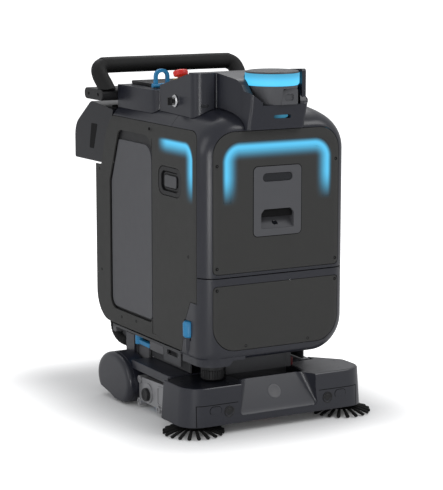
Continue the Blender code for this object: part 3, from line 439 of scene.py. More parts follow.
def build_lower_shell():
    """The front below the joint, with the leg that closes the hose bay on one side."""
    window = prism("window", rectangle(-0.3, 0.1, 0.3, SEAM - GAP), "y", -0.05, 0.132)
    shell = skin(0.0, -0.005, window, "lower_shell")
    corner = prism("leg", fillet([(-0.2145, 0.121), (-0.2145, 0.0034, 0.047), (-0.138, 0.0034),
        (-0.138, 0.121)], 12), "z", 0.1745, 0.24)
    foot = prism("leg", [(-0.15, 0.19), (-0.139, 0.1755), (-0.129, 0.188), (-0.093, 0.188),
        (-0.093, 0.23), (-0.15, 0.23)], "y", 0.0032, 0.0145)
    join(shell, corner, foot)
    carve(shell, fillet([(-0.203, 0.19), (-0.133, 0.19), (-0.12, 0.212), (-0.14, 0.26),
        (-0.203, 0.26)]), "y", 0.02, 0.14)
    carve(shell, lower_panel_outline(GAP), "y", -0.02, 0.045)
    for low, high in ((-0.3, -0.165), (0.165, 0.3)):
        carve(shell, side_outline(GAP), "x", low, high)
    cut(shell, drum("cut", DRAIN, UP, 0.0185, 0.236, 0.289))


def build_front_panels():
    """The two front panels and the light behind the upper one's corners."""
    window = prism("window", upper_panel_outline(0), "y", -0.01, 0.045)
    upper = skin(0.0, -SKIN, window, "upper_front_panel")
    carve(upper, front_strip_outline(0.0004), "y", -0.02, 0.03)
    carve(upper, rectangle(-0.072, 0.5075, 0.072, 0.6895, 0.0125), "y", -0.02, 0.03)
    window = prism("window", front_strip_outline(0), "y", -0.01, 0.03)
    skin(0.0, -0.003, window, "front_light_strip")
    window = prism("window", lower_panel_outline(0), "y", -0.01, 0.045)
    skin(0.0, -SKIN, window, "lower_front_panel")


def build_sensor_plate():
    """The plate with the depth camera's slot and, below it, a pocket with a sloping floor."""
    plate = prism("sensor_plate", rectangle(-0.0712, 0.5083, 0.0712, 0.6887, 0.012, 14), "y",
        -0.0008, 0.0052)
    join(plate, box("back", (-0.058, 0.004, 0.514), (0.058, 0.034, 0.586)))
    carve(plate, rectangle(-0.0445, 0.649, 0.0445, 0.671, 0.0105, 10), "y", -0.02, 0.03)
    mouth = [(-0.049, 0.5255, 0.006), (0.049, 0.5255, 0.006), (0.049, 0.5665, 0.008),
        (0.0395, 0.5775, 0.006), (-0.0395, 0.5775, 0.006), (-0.049, 0.5665, 0.008)]
    pocket = prism("cut", fillet(mouth, 8), "y", -0.01, 0.0295)
    keep(pocket, prism("cut", [(-0.02, 0.5), (-0.0005, 0.5262), (0.003, 0.5285), (0.024, 0.549),
        (0.031, 0.56), (0.031, 0.6), (-0.02, 0.6)], "x", -0.06, 0.06))
    cut(plate, pocket)
    # A black sheet near the mouth of the pocket's deep upper part: painted shade of that deep slot.
    shade = prism("shade", fillet([(-0.047, 0.556), (0.047, 0.556), (0.047, 0.5665, 0.007),
        (0.0385, 0.576, 0.005), (-0.0385, 0.576, 0.005), (-0.047, 0.5665, 0.007)], 6), "y", 0.0062,
        0.0095)
    shade.name = "dock_window"
    lens = turned("lens", [(0, -0.004), (0.0085, -0.004), (0.0085, 0.0002), (0.007, 0.0008),
        (0.0055, 0.0001), (0, 0.0001)], (0.0, 0.0135, 0.5388), (0, -0.7, 0.7), 32)
    lens.name = "dock_lens"
    prism("depth_camera", rectangle(-0.044, 0.6495, 0.044, 0.6705, 0.0102, 10), "y", 0.0014, 0.024)


def build_side(left):
    """One side: its panel, light, camera and the recessed gray insert."""
    name = "left" if left else "right"
    side = -1 if left else 1
    near, far = (-0.3, -0.165) if left else (0.165, 0.3)

    def flat(outline, outer, inner, label):
        return prism(label, outline, "x", *span(side, outer, inner))

    panel = skin(0.0, -SKIN, prism("window", side_outline(0), "x", near, far), f"{name}_side_panel")
    carve(panel, side_strip_outline(0.0), "x", near, far)
    carve(panel, side_camera_outline(GAP), "x", near, far)
    plan = [(side * a, b) for a, b in ((0.23, 0.252), (BODY_HALF_W, 0.248), (0.2168, 0.276),
        (0.2168, 0.289), (0.23, 0.289))]
    carve(panel, plan, "z", 0.215, 0.745)
    carve(panel, insert_opening(0), "x", near, far)
    if left:
        cut(panel, drum("cut", DRAIN, UP, 0.0185, 0.242, 0.289))
    skin(-0.00004, -0.003, prism("window", side_strip_outline(-0.00002), "x", near, far),
        f"{name}_light_strip")
    camera = flat(side_camera_outline(0), 0.2172, 0.203, f"{name}_side_camera")
    cut(camera, flat(rectangle(0.135, 0.613, 0.234, 0.666, 0.018), 0.23, 0.2085, "cut"))
    join(camera, flat(rectangle(0.14, 0.6165, 0.229, 0.6625, 0.015), 0.2125, 0.208, "step"))
    cut(camera, flat(rectangle(0.146, 0.6215, 0.223, 0.6575, 0.01), 0.23, 0.21, "cut"))
    join(camera, flat(rectangle(0.156, 0.625, 0.213, 0.654, 0.006), 0.215, 0.208, "pad"))
    insert = flat(insert_opening(0.006), 0.209, 0.205, f"{name}_side_insert")
    join(insert, flat(insert_outline(0), 0.2144, 0.207, "face"))


def build_rear_panel():
    """The back cover: a sheet that curls under the body, notched for the suction hose."""
    sheet = []
    for radius in (0.0795, 0.0755):
        curve = [(0.554 + radius, 0.6375)]
        for k in range(7):
            angle = math.radians(60) * k / 6
            curve.append((0.554 + radius * math.cos(angle), 0.281 - radius * math.sin(angle)))
        sheet.append(curve)
    panel = prism("rear_panel", sheet[0] + sheet[1][::-1], "x", -0.213, 0.213)
    cut(panel, drum("cut", HOSE_EXIT, UP, 0.019, 0.17, 0.26, steps=40),
        box("cut", (-0.197, 0.57, 0.17), (-0.159, 0.6, 0.26)))
    corner = [(0.128 + 0.085 * math.sin(math.radians(9 * k)),
        0.275 - 0.085 * math.cos(math.radians(9 * k))) for k in range(11)]
    carve(panel, [*corner, (0.26, 0.275), (0.26, 0.1), (0.128, 0.1)], "y", 0.5, 0.66)


# ---- Inside the body


def build_inside():
    """The battery, the two tanks and the vacuum motor."""
    battery = prism("battery_pack", rectangle(-0.15, 0.35, 0.15, 0.56, 0.008, 2), "z",
        FLOOR_TOP + GAP, 0.35)
    join(battery, box("lug", (-0.03, 0.43, 0.345), (0.03, 0.48, 0.365)))
    tank = prism("solution_tank", rectangle(-0.19, 0.06, 0.19, 0.33, 0.03, 3), "z", 0.38, 0.76)
    join(tank, drum("neck", (0.1, 0.2, 0), UP, 0.035, 0.75, 0.785, steps=40))
    waste = prism("recovery_tank", rectangle(-0.185, 0.345, 0.185, 0.535, 0.02, 3), "z", 0.37,
        0.826)
    carve(waste, rectangle(-0.18, 0.35, 0.18, 0.53, 0.016, 3), "z", 0.376, 0.762)
    cut(waste, box("cut", (-0.124, 0.406, 0.75), (0.124, 0.529, 0.84)))
    for low, high in ((-0.19, -0.14), (0.14, 0.19)):
        cut(waste, box("cut", (low, 0.34, 0.77), (high, 0.54, 0.84)))
    turned("vacuum_motor", [(0, FLOOR_TOP + GAP), (0.075, FLOOR_TOP + GAP), (0.075, 0.245),
        (0.058, 0.255), (0.058, 0.32), (0.03, 0.335), (0, 0.335)], (0.06, 0.23, 0), UP)


# ---- Chassis under the body


def build_chassis():
    """Welded frame: floor plate, two rails, cross members, apron, one bracket, axle plates."""
    frame = prism("chassis_frame", rectangle(-0.207, 0.137, 0.176, 0.57, 0.02, 6), "z", FRAME_TOP,
        FLOOR_TOP)
    rail = [(0.0935, FRAME_LOW), (0.566, FRAME_LOW), (0.566, FRAME_TOP + 0.002),
        (0.1375, FRAME_TOP + 0.002), (0.1375, 0.184), (0.0935, 0.184)]
    for side in (-1, 1):
        ends = sorted((side * (RAIL_X - 0.016), side * RAIL_X))
        join(frame, prism("rail", rail, "x", *ends))
    apron_low = DECK_TOP + 0.001
    join(frame, box("apron", (-RAIL_X + 0.002, 0.094, apron_low), (RAIL_X - 0.002, 0.0985, 0.1835)))
    join(frame, box("web", (-0.195, 0.137, 0.06), (0.195, 0.1455, 0.1205)))
    join(frame, box("web_neck", (-0.08, 0.137, 0.11), (0.08, 0.1455, 0.188)))
    join(frame, box("caster_arm", (-0.035, 0.064, 0.076), (0.035, 0.142, 0.084)))
    low, high = WHEEL_AXIS[0] - 0.03, WHEEL_AXIS[0] + 0.03
    for side in (-1, 1):
        inner, outer = span(side, 0.186, 0.192)
        join(frame, box("axle_plate", (inner, low, 0.035), (outer, high, FRAME_TOP + 0.002)))
        join(frame, drum("motor", (0, *WHEEL_AXIS), (side, 0, 0), 0.038, 0.112, 0.19, steps=40))
        if side < 0:
            bracket = prism("bracket", rectangle(0.15, 0.149, 0.248, FRAME_TOP + 0.002), "x",
                -0.205, -0.2)
            carve(bracket, rectangle(0.168, 0.17, 0.228, 0.183, 0.003, 2), "x", -0.215, -0.19)
            join(frame, bracket)
        inner, outer = span(side, 0.172, 0.176)
        join(frame, box("sill", (inner, 0.15, FRAME_LOW), (outer, 0.558, FRAME_TOP + 0.002)))
    join(frame, box("pivot", (-0.075, 0.5, 0.088), (-0.066, 0.55, 0.14)), box("pivot",
        (0.066, 0.5, 0.088), (0.075, 0.55, 0.14)), box("pivot_bar", (-0.098, 0.5, 0.13),
        (0.098, 0.55, 0.14)))
    cut(frame, drum("hole", (0, *SQUEEGEE_PIVOT), RIGHT, 0.0046, -0.08, 0.08, steps=32))


def build_deck_cover():
    """The plate over the scrub deck, with a skirt along each side."""
    edge = DECK_TOP - DECK_SKIN
    cover = prism("deck_cover", fillet([(-0.24, 0.1475, 0.01), (0.195, 0.1475), (0.195, 0.372),
        (-0.24, 0.372)], 3), "z", edge, DECK_TOP)
    join(cover, box("skirt", (-0.24, 0.158, 0.105), (-0.2365, 0.368, edge + 0.003)))
    join(cover, box("skirt", (0.1915, 0.158, 0.105), (0.195, 0.368, edge + 0.003)))


# ---- Bumper


def bumper_ring(grow, height, rear):
    """The bumper's outline in plan. Its sides lean out towards the floor, and on one side it
    turns in behind the corner, beside the deck cover."""
    lean = BUMPER_LEAN * (DECK_TOP - height) / (DECK_TOP - BUMPER_LOW)
    half = BUMPER_HALF_W + lean + grow
    front = BUMPER_FRONT - 0.25 * lean - grow
    corner = 0.055 + grow
    turn = (half, 0.096 + 0.41 * grow, 0.03 + grow)
    tail = (0.201 + lean + 0.726 * grow, 0.169 + 0.6875 * grow)
    stretch = max(0.0, rear - BUMPER_REAR) * 1.6
    tail = (tail[0] - 0.6875 * stretch, tail[1] + 0.726 * stretch)
    outline = fillet([(-half, rear, 0.0), (-half, front, corner), (half, front, corner), turn,
        tail, (0.188, rear + stretch)], 6)
    return [place(a, b, height) for a, b in outline]


BUMPER_HEIGHTS = (BUMPER_LOW, 0.060, 0.1200, 0.1255, DECK_TOP)


def bumper_core(grow):
    """The space between the bumper's walls, longer than the bumper above, below and behind."""
    return loft("core", [bumper_ring(grow, height, BUMPER_REAR + 0.012)
        for height in (BUMPER_LOW - 0.01, 0.06, DECK_TOP + 0.01)])


def scoop(grow):
    """The hollow in the bumper's face: its floor slopes back as it rises, its corners are round."""
    low = SCOOP_LOW - grow
    foot, brow, back = 0.121 + grow, 0.136 + grow, 0.092 + grow
    slope = (SCOOP_DEEP + grow - BUMPER_FRONT) / (DECK_TOP - low)
    round_low = 0.014
    rings = []
    for rise in (-0.0005, 0.0008, 0.0025, 0.005, 0.009, 0.014, 0.024, 0.038, 0.054, 0.07, 0.09,
            0.114):
        share = max(0.0, rise) / (DECK_TOP - low)
        short = 1.0 - min(1.0, max(0.0, rise) / round_low)
        inset = round_low * (1.0 - math.sqrt(1.0 - short * short))
        front = foot + (brow - foot) * min(1.0, share) - inset
        rear = foot + (back - foot) * share - inset
        deep = BUMPER_FRONT + grow * 0.6 + slope * max(0.0, rise)
        bend = 0.004 + 0.026 * min(1.0, share)
        outline = fillet([(-front, -0.06), (front, -0.06), (rear, deep, bend),
            (-rear, deep, bend)], 8)
        rings.append([place(a, b, low + rise) for a, b in outline])
    return loft("scoop", rings)


def build_bumper():
    """The hollow bumper."""
    outer = loft("front_bumper", [bumper_ring(-0.0015 if height == DECK_TOP else 0.0, height,
        BUMPER_REAR) for height in BUMPER_HEIGHTS])
    cut(outer, scoop(0.0))
    cut(outer, cut(bumper_core(-SKIN), scoop(SKIN)))


def build_bumper_top():
    """The bumper's lid: flat at both sides, sloping down into a pit in front of the apron."""
    low = DECK_TOP - DECK_SKIN
    half, front = BUMPER_HALF_W - 0.0046, BUMPER_FRONT + 0.0046
    plate = prism("bumper_top", fillet([(-0.235, 0.1365), (-half, 0.118, 0.02),
        (-half, front, 0.0504), (half, front, 0.0504), (half, 0.094, 0.0254), (0.198, 0.1645),
        (0.198, 0.1365)], 6), "z", low, DECK_TOP)
    cut(plate, scoop(0.0046))
    notch = [(-0.098, 0.03), (0.098, 0.03), (0.106, 0.15), (-0.106, 0.15)]
    carve(plate, notch, "z", low - 0.01, DECK_TOP + 0.01)
    floor = prism("pit", [(0.038, 0.1215), (0.038, 0.1145), (0.117, 0.094), (0.117, 0.1)], "x",
        -0.1045, 0.1045)
    walls = [prism("wall", [(0.04, 0.1165), (0.119, 0.0965), (0.119, DECK_TOP - 0.001),
        (0.04, DECK_TOP - 0.001)], "x", *span(side, 0.1085, 0.1015)) for side in (-1, 1)]
    join(plate, *walls, floor)


# ---- Scrub deck, brushes and squeegee


def build_scrub_deck():
    """A tunnel over the scrub brush, its end plate and the cast gearbox on the left."""
    depth, height = SCRUB_AXIS
    shell = prism("scrub_deck", fillet([(depth - 0.055, 0.014), (depth - 0.055, 0.098, 0.03),
        (depth + 0.055, 0.098, 0.03), (depth + 0.055, 0.014)], 4), "x", -0.212, 0.188)
    cut(shell, drum("cut", (0, depth, height), RIGHT, SCRUB_R + 0.003, -0.206, 0.182))
    cut(shell, box("cut", (-0.206, depth - 0.049, 0.0), (0.182, depth + 0.049, height)))
    cut(shell, drum("bore", (0, depth, height), RIGHT, 0.0125, -0.24, 0.24, steps=40))
    gearbox = prism("brush_gearbox", fillet([(0.172, 0.02, 0.01), (0.345, 0.02, 0.01),
        (0.345, 0.086, 0.014), (0.172, 0.093, 0.006)], 4), "x", -0.2305, -0.2124)
    join(gearbox, drum("boss", (0, depth, height + 0.004), LEFT, 0.027, 0.218, 0.2345, steps=48))
    lugs = ((0.339, 0.017), (0.226, 0.019), (0.336, 0.08))
    for lug_depth, lug_height in lugs:
        join(gearbox, drum("lug", (0, lug_depth, lug_height), LEFT, 0.0105, 0.2124, 0.235,
            steps=32))
    cut(gearbox, drum("bore", (0, depth, height), LEFT, 0.0125, 0.2, 0.25, steps=40))
    for lug_depth, lug_height in lugs:
        cut(gearbox, drum("screw", (0, lug_depth, lug_height), LEFT, 0.0045, 0.2325, 0.24,
            steps=24))
    rib = prism("rib", fillet([(0.188, 0.03, 0.006), (0.236, 0.03, 0.006), (0.236, 0.082, 0.006),
        (0.188, 0.086, 0.006)], 5), "x", -0.2325, -0.229)
    carve(rib, fillet([(0.192, 0.034, 0.004), (0.232, 0.034, 0.004), (0.232, 0.078, 0.004),
        (0.192, 0.082, 0.004)], 5), "x", -0.24, -0.22)
    join(gearbox, rib)
    turned("scrub_brush", [(0, -0.238), (0.012, -0.238), (0.012, -0.204), (SCRUB_R, -0.204),
        (SCRUB_R, 0.18), (0.012, 0.18), (0.012, 0.184), (0, 0.184)], (0, depth, height), RIGHT)
    knob = turned("knob", [(0, 0.2335), (0.017, 0.2335), (0.018, 0.2345), (0.018, 0.2425),
        (0.0168, 0.244), (0.011, 0.244), (0.0095, 0.2425), (0, 0.2425)], (0, depth, height), LEFT,
        48)
    knob.name = "brush_knob"


def gather(name, parts):
    """One piece from several meshes that stay apart."""
    first = parts[0]
    work = bmesh.new()
    for part in parts:
        work.from_mesh(part.data)
    work.to_mesh(first.data)
    work.free()
    for part in parts[1:]:
        bpy.data.objects.remove(part, do_unlink=True)
    first.name = name
    return first


def build_side_brush(name, x):
    """A hub with a ring of round bristle bundles that slope down to the floor."""
    hub = turned(name, [(0, 0.0105), (0.026, 0.0105), (0.03, 0.014), (0.03, 0.02), (0.027, 0.0235),
        (0.02, 0.0262), (0, 0.0265)], (x, SIDE_BRUSH[1], 0), UP, 48)
    tufts = []
    for angle in turns(TUFTS):
        out = Vector((math.cos(angle), math.sin(angle), 0))
        across = Vector((-math.sin(angle), math.cos(angle), 0))
        centre = place(x, SIDE_BRUSH[1], 0)
        rings = []
        for radius, half, middle, thick in ((0.023, 0.003, 0.0165, 0.0032),
                (0.04, 0.0036, 0.015, 0.0034), (0.06, 0.0046, 0.0105, 0.0038),
                (0.078, 0.0056, 0.005, 0.0042), (0.0806, 0.005, 0.0047, 0.0036),
                (SIDE_BRUSH_R, 0.003, 0.0045, 0.0022)):
            foot = centre + out * radius + Vector((0, 0, middle))
            rings.append([foot + across * (half * math.cos(turn)) + Vector((0, 0,
                thick * math.sin(turn))) for turn in turns(14)])
        tufts.append(loft("tuft", rings))
    gather(hub.name, [hub, *tufts])


def build_brush_motor():
    """The side brush's gear motor and the arm that carries it from the frame."""
    x, depth = -SIDE_BRUSH[0] + 0.02, SIDE_BRUSH[1]
    motor = turned("left_brush_motor", [(0, 0.03), (0.022, 0.03), (0.029, 0.036), (0.029, 0.094),
        (0.024, 0.1), (0, 0.1)], (x, depth + 0.006, 0), UP, 20)
    join(motor, drum("shaft", (-SIDE_BRUSH[0], depth, 0), UP, 0.008, 0.0272, 0.04, steps=32))
    return join(motor, box("arm", (x - 0.014, depth, 0.066), (x + 0.024, 0.1365, 0.078)))


def build_drive():
    """A drive wheel and the cover over it."""
    depth, height = WHEEL_AXIS
    wheel = turned("left_drive_wheel", [(0, 0.1925), (0.012, 0.1925), (0.012, 0.203),
        (WHEEL_R - 0.006, 0.203), (WHEEL_R, 0.209), (WHEEL_R, 0.238), (WHEEL_R - 0.006, 0.244),
        (0.04, 0.244), (0.034, 0.238), (0, 0.238)], (0, depth, height), LEFT, 72)

    def oval(grow, x):
        return [place(x, depth - 0.012 + (0.102 + grow) * math.cos(angle),
            0.06 + (0.0735 + grow) * math.sin(angle)) for angle in turns(96)]

    cover = loft("left_wheel_cover", [oval(0, -0.1965), oval(0, -0.2405), oval(-0.0012, -0.2412),
        oval(-0.0012, -0.2424), oval(0, -0.2431), oval(0, -0.25), oval(-0.0012, -0.254),
        oval(-0.0045, -0.2578), oval(-0.01, -0.2598), oval(-0.02, -0.26)])
    cut(cover, loft("cut", [oval(-0.004, -0.19), oval(-0.004, -0.25)]))
    below = prism("cut", [(0.3, 0.007), (0.44, 0.007), (0.47, 0.016), (0.54, 0.028), (0.6, 0.05),
        (0.6, -0.05), (0.3, -0.05)], "x", -0.28, -0.18)
    cut(cover, below)
    join(cover, box("stay", (-0.199, depth - 0.025, 0.128), (-0.1925, depth + 0.025, 0.18)))
    return wheel, cover


def build_caster():
    """One swivelling wheel behind the bumper, in the middle."""
    top = 0.0755
    fork = drum("caster_fork", (0, CASTER_DEPTH, 0), UP, 0.02, top - 0.008, top, 16)
    wheel_depth = CASTER_DEPTH + CASTER_TRAIL
    for side in (-1, 1):
        ends = span(side, 0.0175, 0.0215)
        cheek = prism("cheek", fillet([(wheel_depth - 0.01, 0.02, 0.008),
            (wheel_depth + 0.01, 0.02, 0.008), (wheel_depth + 0.004, top - 0.002),
            (CASTER_DEPTH - 0.014, top - 0.002)], 3), "x", *ends)
        join(fork, cheek)
    join(fork, box("bridge", (-0.0215, CASTER_DEPTH - 0.014, top - 0.012),
        (0.0215, CASTER_DEPTH + 0.016, top - 0.004)))
    turned("caster_wheel", [(0, -0.0165), (CASTER_R - 0.004, -0.0165), (CASTER_R, -0.012),
        (CASTER_R, 0.012), (CASTER_R - 0.004, 0.0165), (0, 0.0165)], (0, wheel_depth, CASTER_R),
        RIGHT, 48)


def squeegee_arc(low, high, inset, steps=32, half=0.185):
    """A strip in plan, bowed towards the rear, between two depths."""

    def bow(x):
        return 0.014 * (x / half) ** 2

    front = [(half * (2 * k / steps - 1) * inset, low) for k in range(steps + 1)]
    back = [(half * (1 - 2 * k / steps) * inset, high) for k in range(steps + 1)]
    return [(x, depth - bow(x)) for x, depth in front + back]


def build_squeegee():
    """The carrier with its port, arms and pins, and the rubber blade."""
    carrier = prism("squeegee_carrier", squeegee_arc(0.606, 0.65, 1.0), "z", 0.03, 0.052)
    join(carrier, drum("port", PORT, UP, 0.014, 0.045, 0.078, steps=40))
    for side in (-1, 1):
        ends = span(side, 0.0405, 0.0635)
        join(carrier, prism("arm", fillet([(0.52, 0.088, 0.007), (0.543, 0.109, 0.007),
            (0.59, 0.066), (0.612, 0.052), (0.612, 0.036)], 8), "x", *ends))
        join(carrier, drum("pin", (0, *SQUEEGEE_PIVOT), (side, 0, 0), 0.004, 0.06, 0.0745,
            steps=32))
    blade = prism("squeegee_blade", squeegee_arc(0.612, 0.644, 0.985), "z", 0.0006, 0.0296)
    carve(blade, squeegee_arc(0.616, 0.64, 0.96), "z", -0.01, 0.04)


HOSE_ROUTE = [(-0.164, 0.5, 0.364), (-0.166, 0.506, 0.345), (-0.174, 0.56, 0.28),
    (-0.178, 0.598, 0.22), (-0.178, 0.6, 0.188), (-0.178, 0.59, 0.162), (-0.177, 0.562, 0.146),
    (-0.168, 0.54, 0.139), (-0.145, 0.54, 0.126), (-0.112, 0.566, 0.113), (-0.084, 0.6, 0.1135),
    (-0.068, 0.6185, 0.112), (-0.061, 0.6265, 0.1105)]


def build_hose():
    """The ribbed suction hose, with a wide cuff over the squeegee's port."""
    sides, pitch, rib = 32, 0.0085, 0.085
    inner = tube("hose_core", HOSE_ROUTE, 0.0138, sides, 16)
    rings = len(inner.data.vertices) // sides
    work = inner.data.vertices
    centres = [sum((work[r * sides + k].co for k in range(sides)), Vector()) / sides
        for r in range(rings)]
    travelled = 0.0
    for r in range(rings):
        if r:
            travelled += (centres[r] - centres[r - 1]).length
        swell = 1.0 + rib * (0.5 + 0.5 * math.cos(2 * math.pi * travelled / pitch))
        for k in range(sides):
            vertex = work[r * sides + k]
            vertex.co = centres[r] + (vertex.co - centres[r]) * swell
    cuff = turned("cuff", [(0, 0.099), (0.0235, 0.096), (0.0235, 0.073), (0.027, 0.073),
        (0.027, 0.1), (0.018, 0.1045), (0, 0.106)], PORT, UP, 48)
    gather("suction_hose" + SKIN_MARK, [inner, cuff])


def build_valve():
    """A quarter-turn water valve under the body, with its blue lever."""
    lever = drum("valve_lever", (-0.192, 0.42, 0), UP, 0.011, 0.158, 0.1845, 16)
    join(lever, prism("paddle", fillet([(-0.198, 0.415), (-0.186, 0.415), (-0.184, 0.345, 0.005),
        (-0.2, 0.345, 0.005)], 3), "z", 0.16, 0.172))


def build_filter():
    """The clean-water filter's bowl, ribbed for the hand, under the leg."""
    bowl = turned("solution_filter", [(0, 0.13), (0.026, 0.13), (0.029, 0.133), (0.029, 0.156),
        (0.0308, 0.1575), (0.0308, 0.1655), (0.029, 0.1675), (0.024, 0.1725), (0, 0.1725)], FILTER,
        UP, 72)
    ribs = [drum("rib", (FILTER[0] + 0.0292 * math.cos(angle),
        FILTER[1] + 0.0292 * math.sin(angle), 0), UP, 0.0014, 0.1345, 0.156, 8)
        for angle in turns(24)]
    gather(bowl.name, [bowl, *ribs])


def build_drain_cap():
    """The blue cap that closes the drain hose in the bay beside the leg."""
    turned("drain_cap", [(0, 0.244), (0.0135, 0.244), (0.0165, 0.248), (0.0172, 0.28),
        (0.014, 0.286), (0, 0.288)], DRAIN, UP, 40)


# ---- Top of the machine


def head_plan(z):
    """The head in plan at a height: tower on the left, sweep to the beacon's foot in front."""
    foot = max(0.0, min(1.0, (0.85 - z) / 0.06))
    return fillet([(-0.18, 0.31), (-0.184, 0.138, 0.012), (-0.186, 0.1, 0.03),
        (-0.131, 0.1, 0.004), (-0.121, 0.112, 0.004), (-0.094 - 0.01 * foot, 0.03, 0.05),
        (-0.086 - 0.01 * foot, -0.018, 0.012), (0.082 - 0.012 * foot, -0.018, 0.012),
        (0.092 - 0.008 * foot, 0.08, 0.02), (0.105, 0.18, 0.03), (0.18, 0.215, 0.02),
        (0.18, 0.31)], 8)


def build_head():
    """The head: tower, sweep, beacon foot and the fin beside the beacon."""
    levels = (0.786, 0.8, 0.846, 0.9255)
    head = loft("head_shell", [[place(a, b, z) for a, b in head_plan(z)] for z in levels])
    sweep = prism("cut", fillet([(-0.1, 0.8465), (-0.012, 0.8465, 0.02), (0.034, 0.909, 0.04),
        (0.112, 0.9256), (0.112, 0.97), (-0.1, 0.97)], 14), "x", -0.128, 0.3)
    keep(sweep, prism("cut", fillet([(0.31, 0.8464), (-0.025, 0.8464, 0.03),
        (-0.055, 0.8545, 0.03), (-0.09, 0.88, 0.05), (-0.115, 0.912, 0.03), (-0.1275, 0.9262),
        (-0.1275, 0.98), (0.31, 0.98)], 10), "y", -0.2, 0.3))
    cut(head, sweep)
    carve(head, [(SLOPE_START, HEAD_TOP), (0.4, 0.8595), (0.4, 0.97), (SLOPE_START, 0.97)], "x",
        -0.3, 0.3)
    cut(head, drum("cut", (*POD, 0), UP, 0.073, 0.8465, 0.97, steps=96))
    fin = prism("fin", fillet([(0.0, 0.84), (0.064, 0.84), (0.064, 0.931, 0.004),
        (0.0, 0.9355, 0.006)], 3), "x", 0.072, 0.0835)
    join(head, fin)
    bulge = prism("bulge", fillet([(0.078, 0.836), (0.091, 0.848, 0.004), (0.091, 0.857, 0.004),
        (0.078, 0.872)], 3), "y", 0.002, 0.06)
    join(head, bulge)
    carve(head, rectangle(-0.023, 0.8125, 0.028, 0.8215, 0.004, 3), "y", -0.05, -0.006)
    cut(head, body_block(GAP, 0.9))
    light = prism("eye", fillet([(-0.0225, 0.8105, 0.003), (0.01, 0.8105, 0.004),
        (0.0278, 0.8165, 0.003), (0.018, 0.825, 0.003), (-0.012, 0.8242, 0.004)], 6), "y", -0.0088,
        -0.0062)
    light.name = "eye_light"
    window = prism("window", rectangle(-0.17, 0.837, -0.147, 0.845, 0.0035, 5), "y", 0.0993, 0.102)
    window.name = "tower_window"


def build_beacon():
    """The scanner's foot, light ring and cap, and the camera in the foot."""
    pod = turned("lidar_pod", [(0, 0.847), (0.052, 0.847), (0.066, 0.89), (0.066, 0.895),
        (0, 0.895)], (*POD, 0), UP, 96)
    turned("lidar_ring", [(0, 0.8953), (0.0665, 0.8953), (0.07, 0.9), (0.0705, 0.9265),
        (0, 0.9265)], (*POD, 0), UP, 96)
    turned("lidar_cap", [(0, 0.9268), (0.07, 0.9268), (0.068, 0.931), (0.06, 0.9325), (0, 0.9325)],
        (*POD, 0), UP, 96)
    eye = prism("pod_camera", fillet([(-0.004, 0.847), (0.045, 0.847, 0.004),
        (0.045, 0.888, 0.006), (-0.004, 0.888, 0.018)], 10), "y", -0.0245, 0.004)
    cut(pod, box("cut", (-0.0044, -0.05, 0.84), (0.0454, 0.0045, 0.8884)))
    carve(eye, rectangle(0.006, 0.857, 0.032, 0.874, 0.005, 8), "y", -0.04, -0.0205)


def build_controls():
    """The emergency stop on the tower's sloping top, and the key switch on its side."""
    slope = math.atan(HEAD_SLOPE)
    up = Vector((0, math.sin(slope), math.cos(slope)))
    centre = (-0.1545, 0.236, HEAD_TOP - (0.236 - SLOPE_START) * HEAD_SLOPE)
    turned("estop_base", [(0, 0.0006), (0.0215, 0.0006), (0.0215, 0.0032), (0.019, 0.0042),
        (0.0106, 0.0042), (0.0106, 0.0016), (0, 0.0016)], centre, up, 56)
    turned("estop_button", [(0, 0.0069), (0.01, 0.0069), (0.01, 0.0098), (0.0165, 0.0098),
        (0.019, 0.012), (0.02, 0.02), (0.0192, 0.0232), (0.0165, 0.0256), (0.011, 0.027),
        (0, 0.0276)], centre, up, 56)
    turned("key_bezel", [(0.0055, 0.0), (0.0165, 0.0), (0.0165, 0.003), (0.0125, 0.0055),
        (0.0055, 0.0055)], KEY_CENTRE, LEFT, 48)
    key = drum("key", KEY_CENTRE, LEFT, 0.005, 0.0005, 0.008, 12)
    join(key, box("bow", (-0.205, 0.2165, 0.836), (-0.19, 0.2195, 0.856)))


def build_rear_deck():
    """The low housing behind the tower that carries the handle's brackets and the tank lid."""
    deck = prism("rear_deck", fillet([(-0.19, 0.55, 0.006), (-0.19, 0.3105, 0.03),
        (0.19, 0.3105, 0.03), (0.19, 0.55, 0.006)], 4), "z", 0.8, 0.867)
    cut(deck, body_block(GAP, 0.9))
    cut(deck, box("cut", (-0.125, 0.405, 0.8), (0.125, 0.535, 0.9)))
    lid = prism("tank_lid", rectangle(-0.15, 0.388, 0.15, 0.548, 0.012, 3), "z", 0.8675, 0.8765)
    join(lid, prism("plug", rectangle(-0.121, 0.409, 0.121, 0.531, 0.006, 2), "z", 0.858, 0.87))
    latch = prism("lid_latch", fillet([(-0.166, 0.875), (-0.166, 0.919, 0.019),
        (-0.122, 0.919, 0.019), (-0.122, 0.875), (-0.131, 0.875), (-0.131, 0.91, 0.011),
        (-0.157, 0.91, 0.011), (-0.157, 0.875)], 4), "y", 0.365, 0.375)
    join(latch, drum("barrel", (0, 0.37, 0.8745), RIGHT, 0.0062, -0.172, -0.116, steps=40))


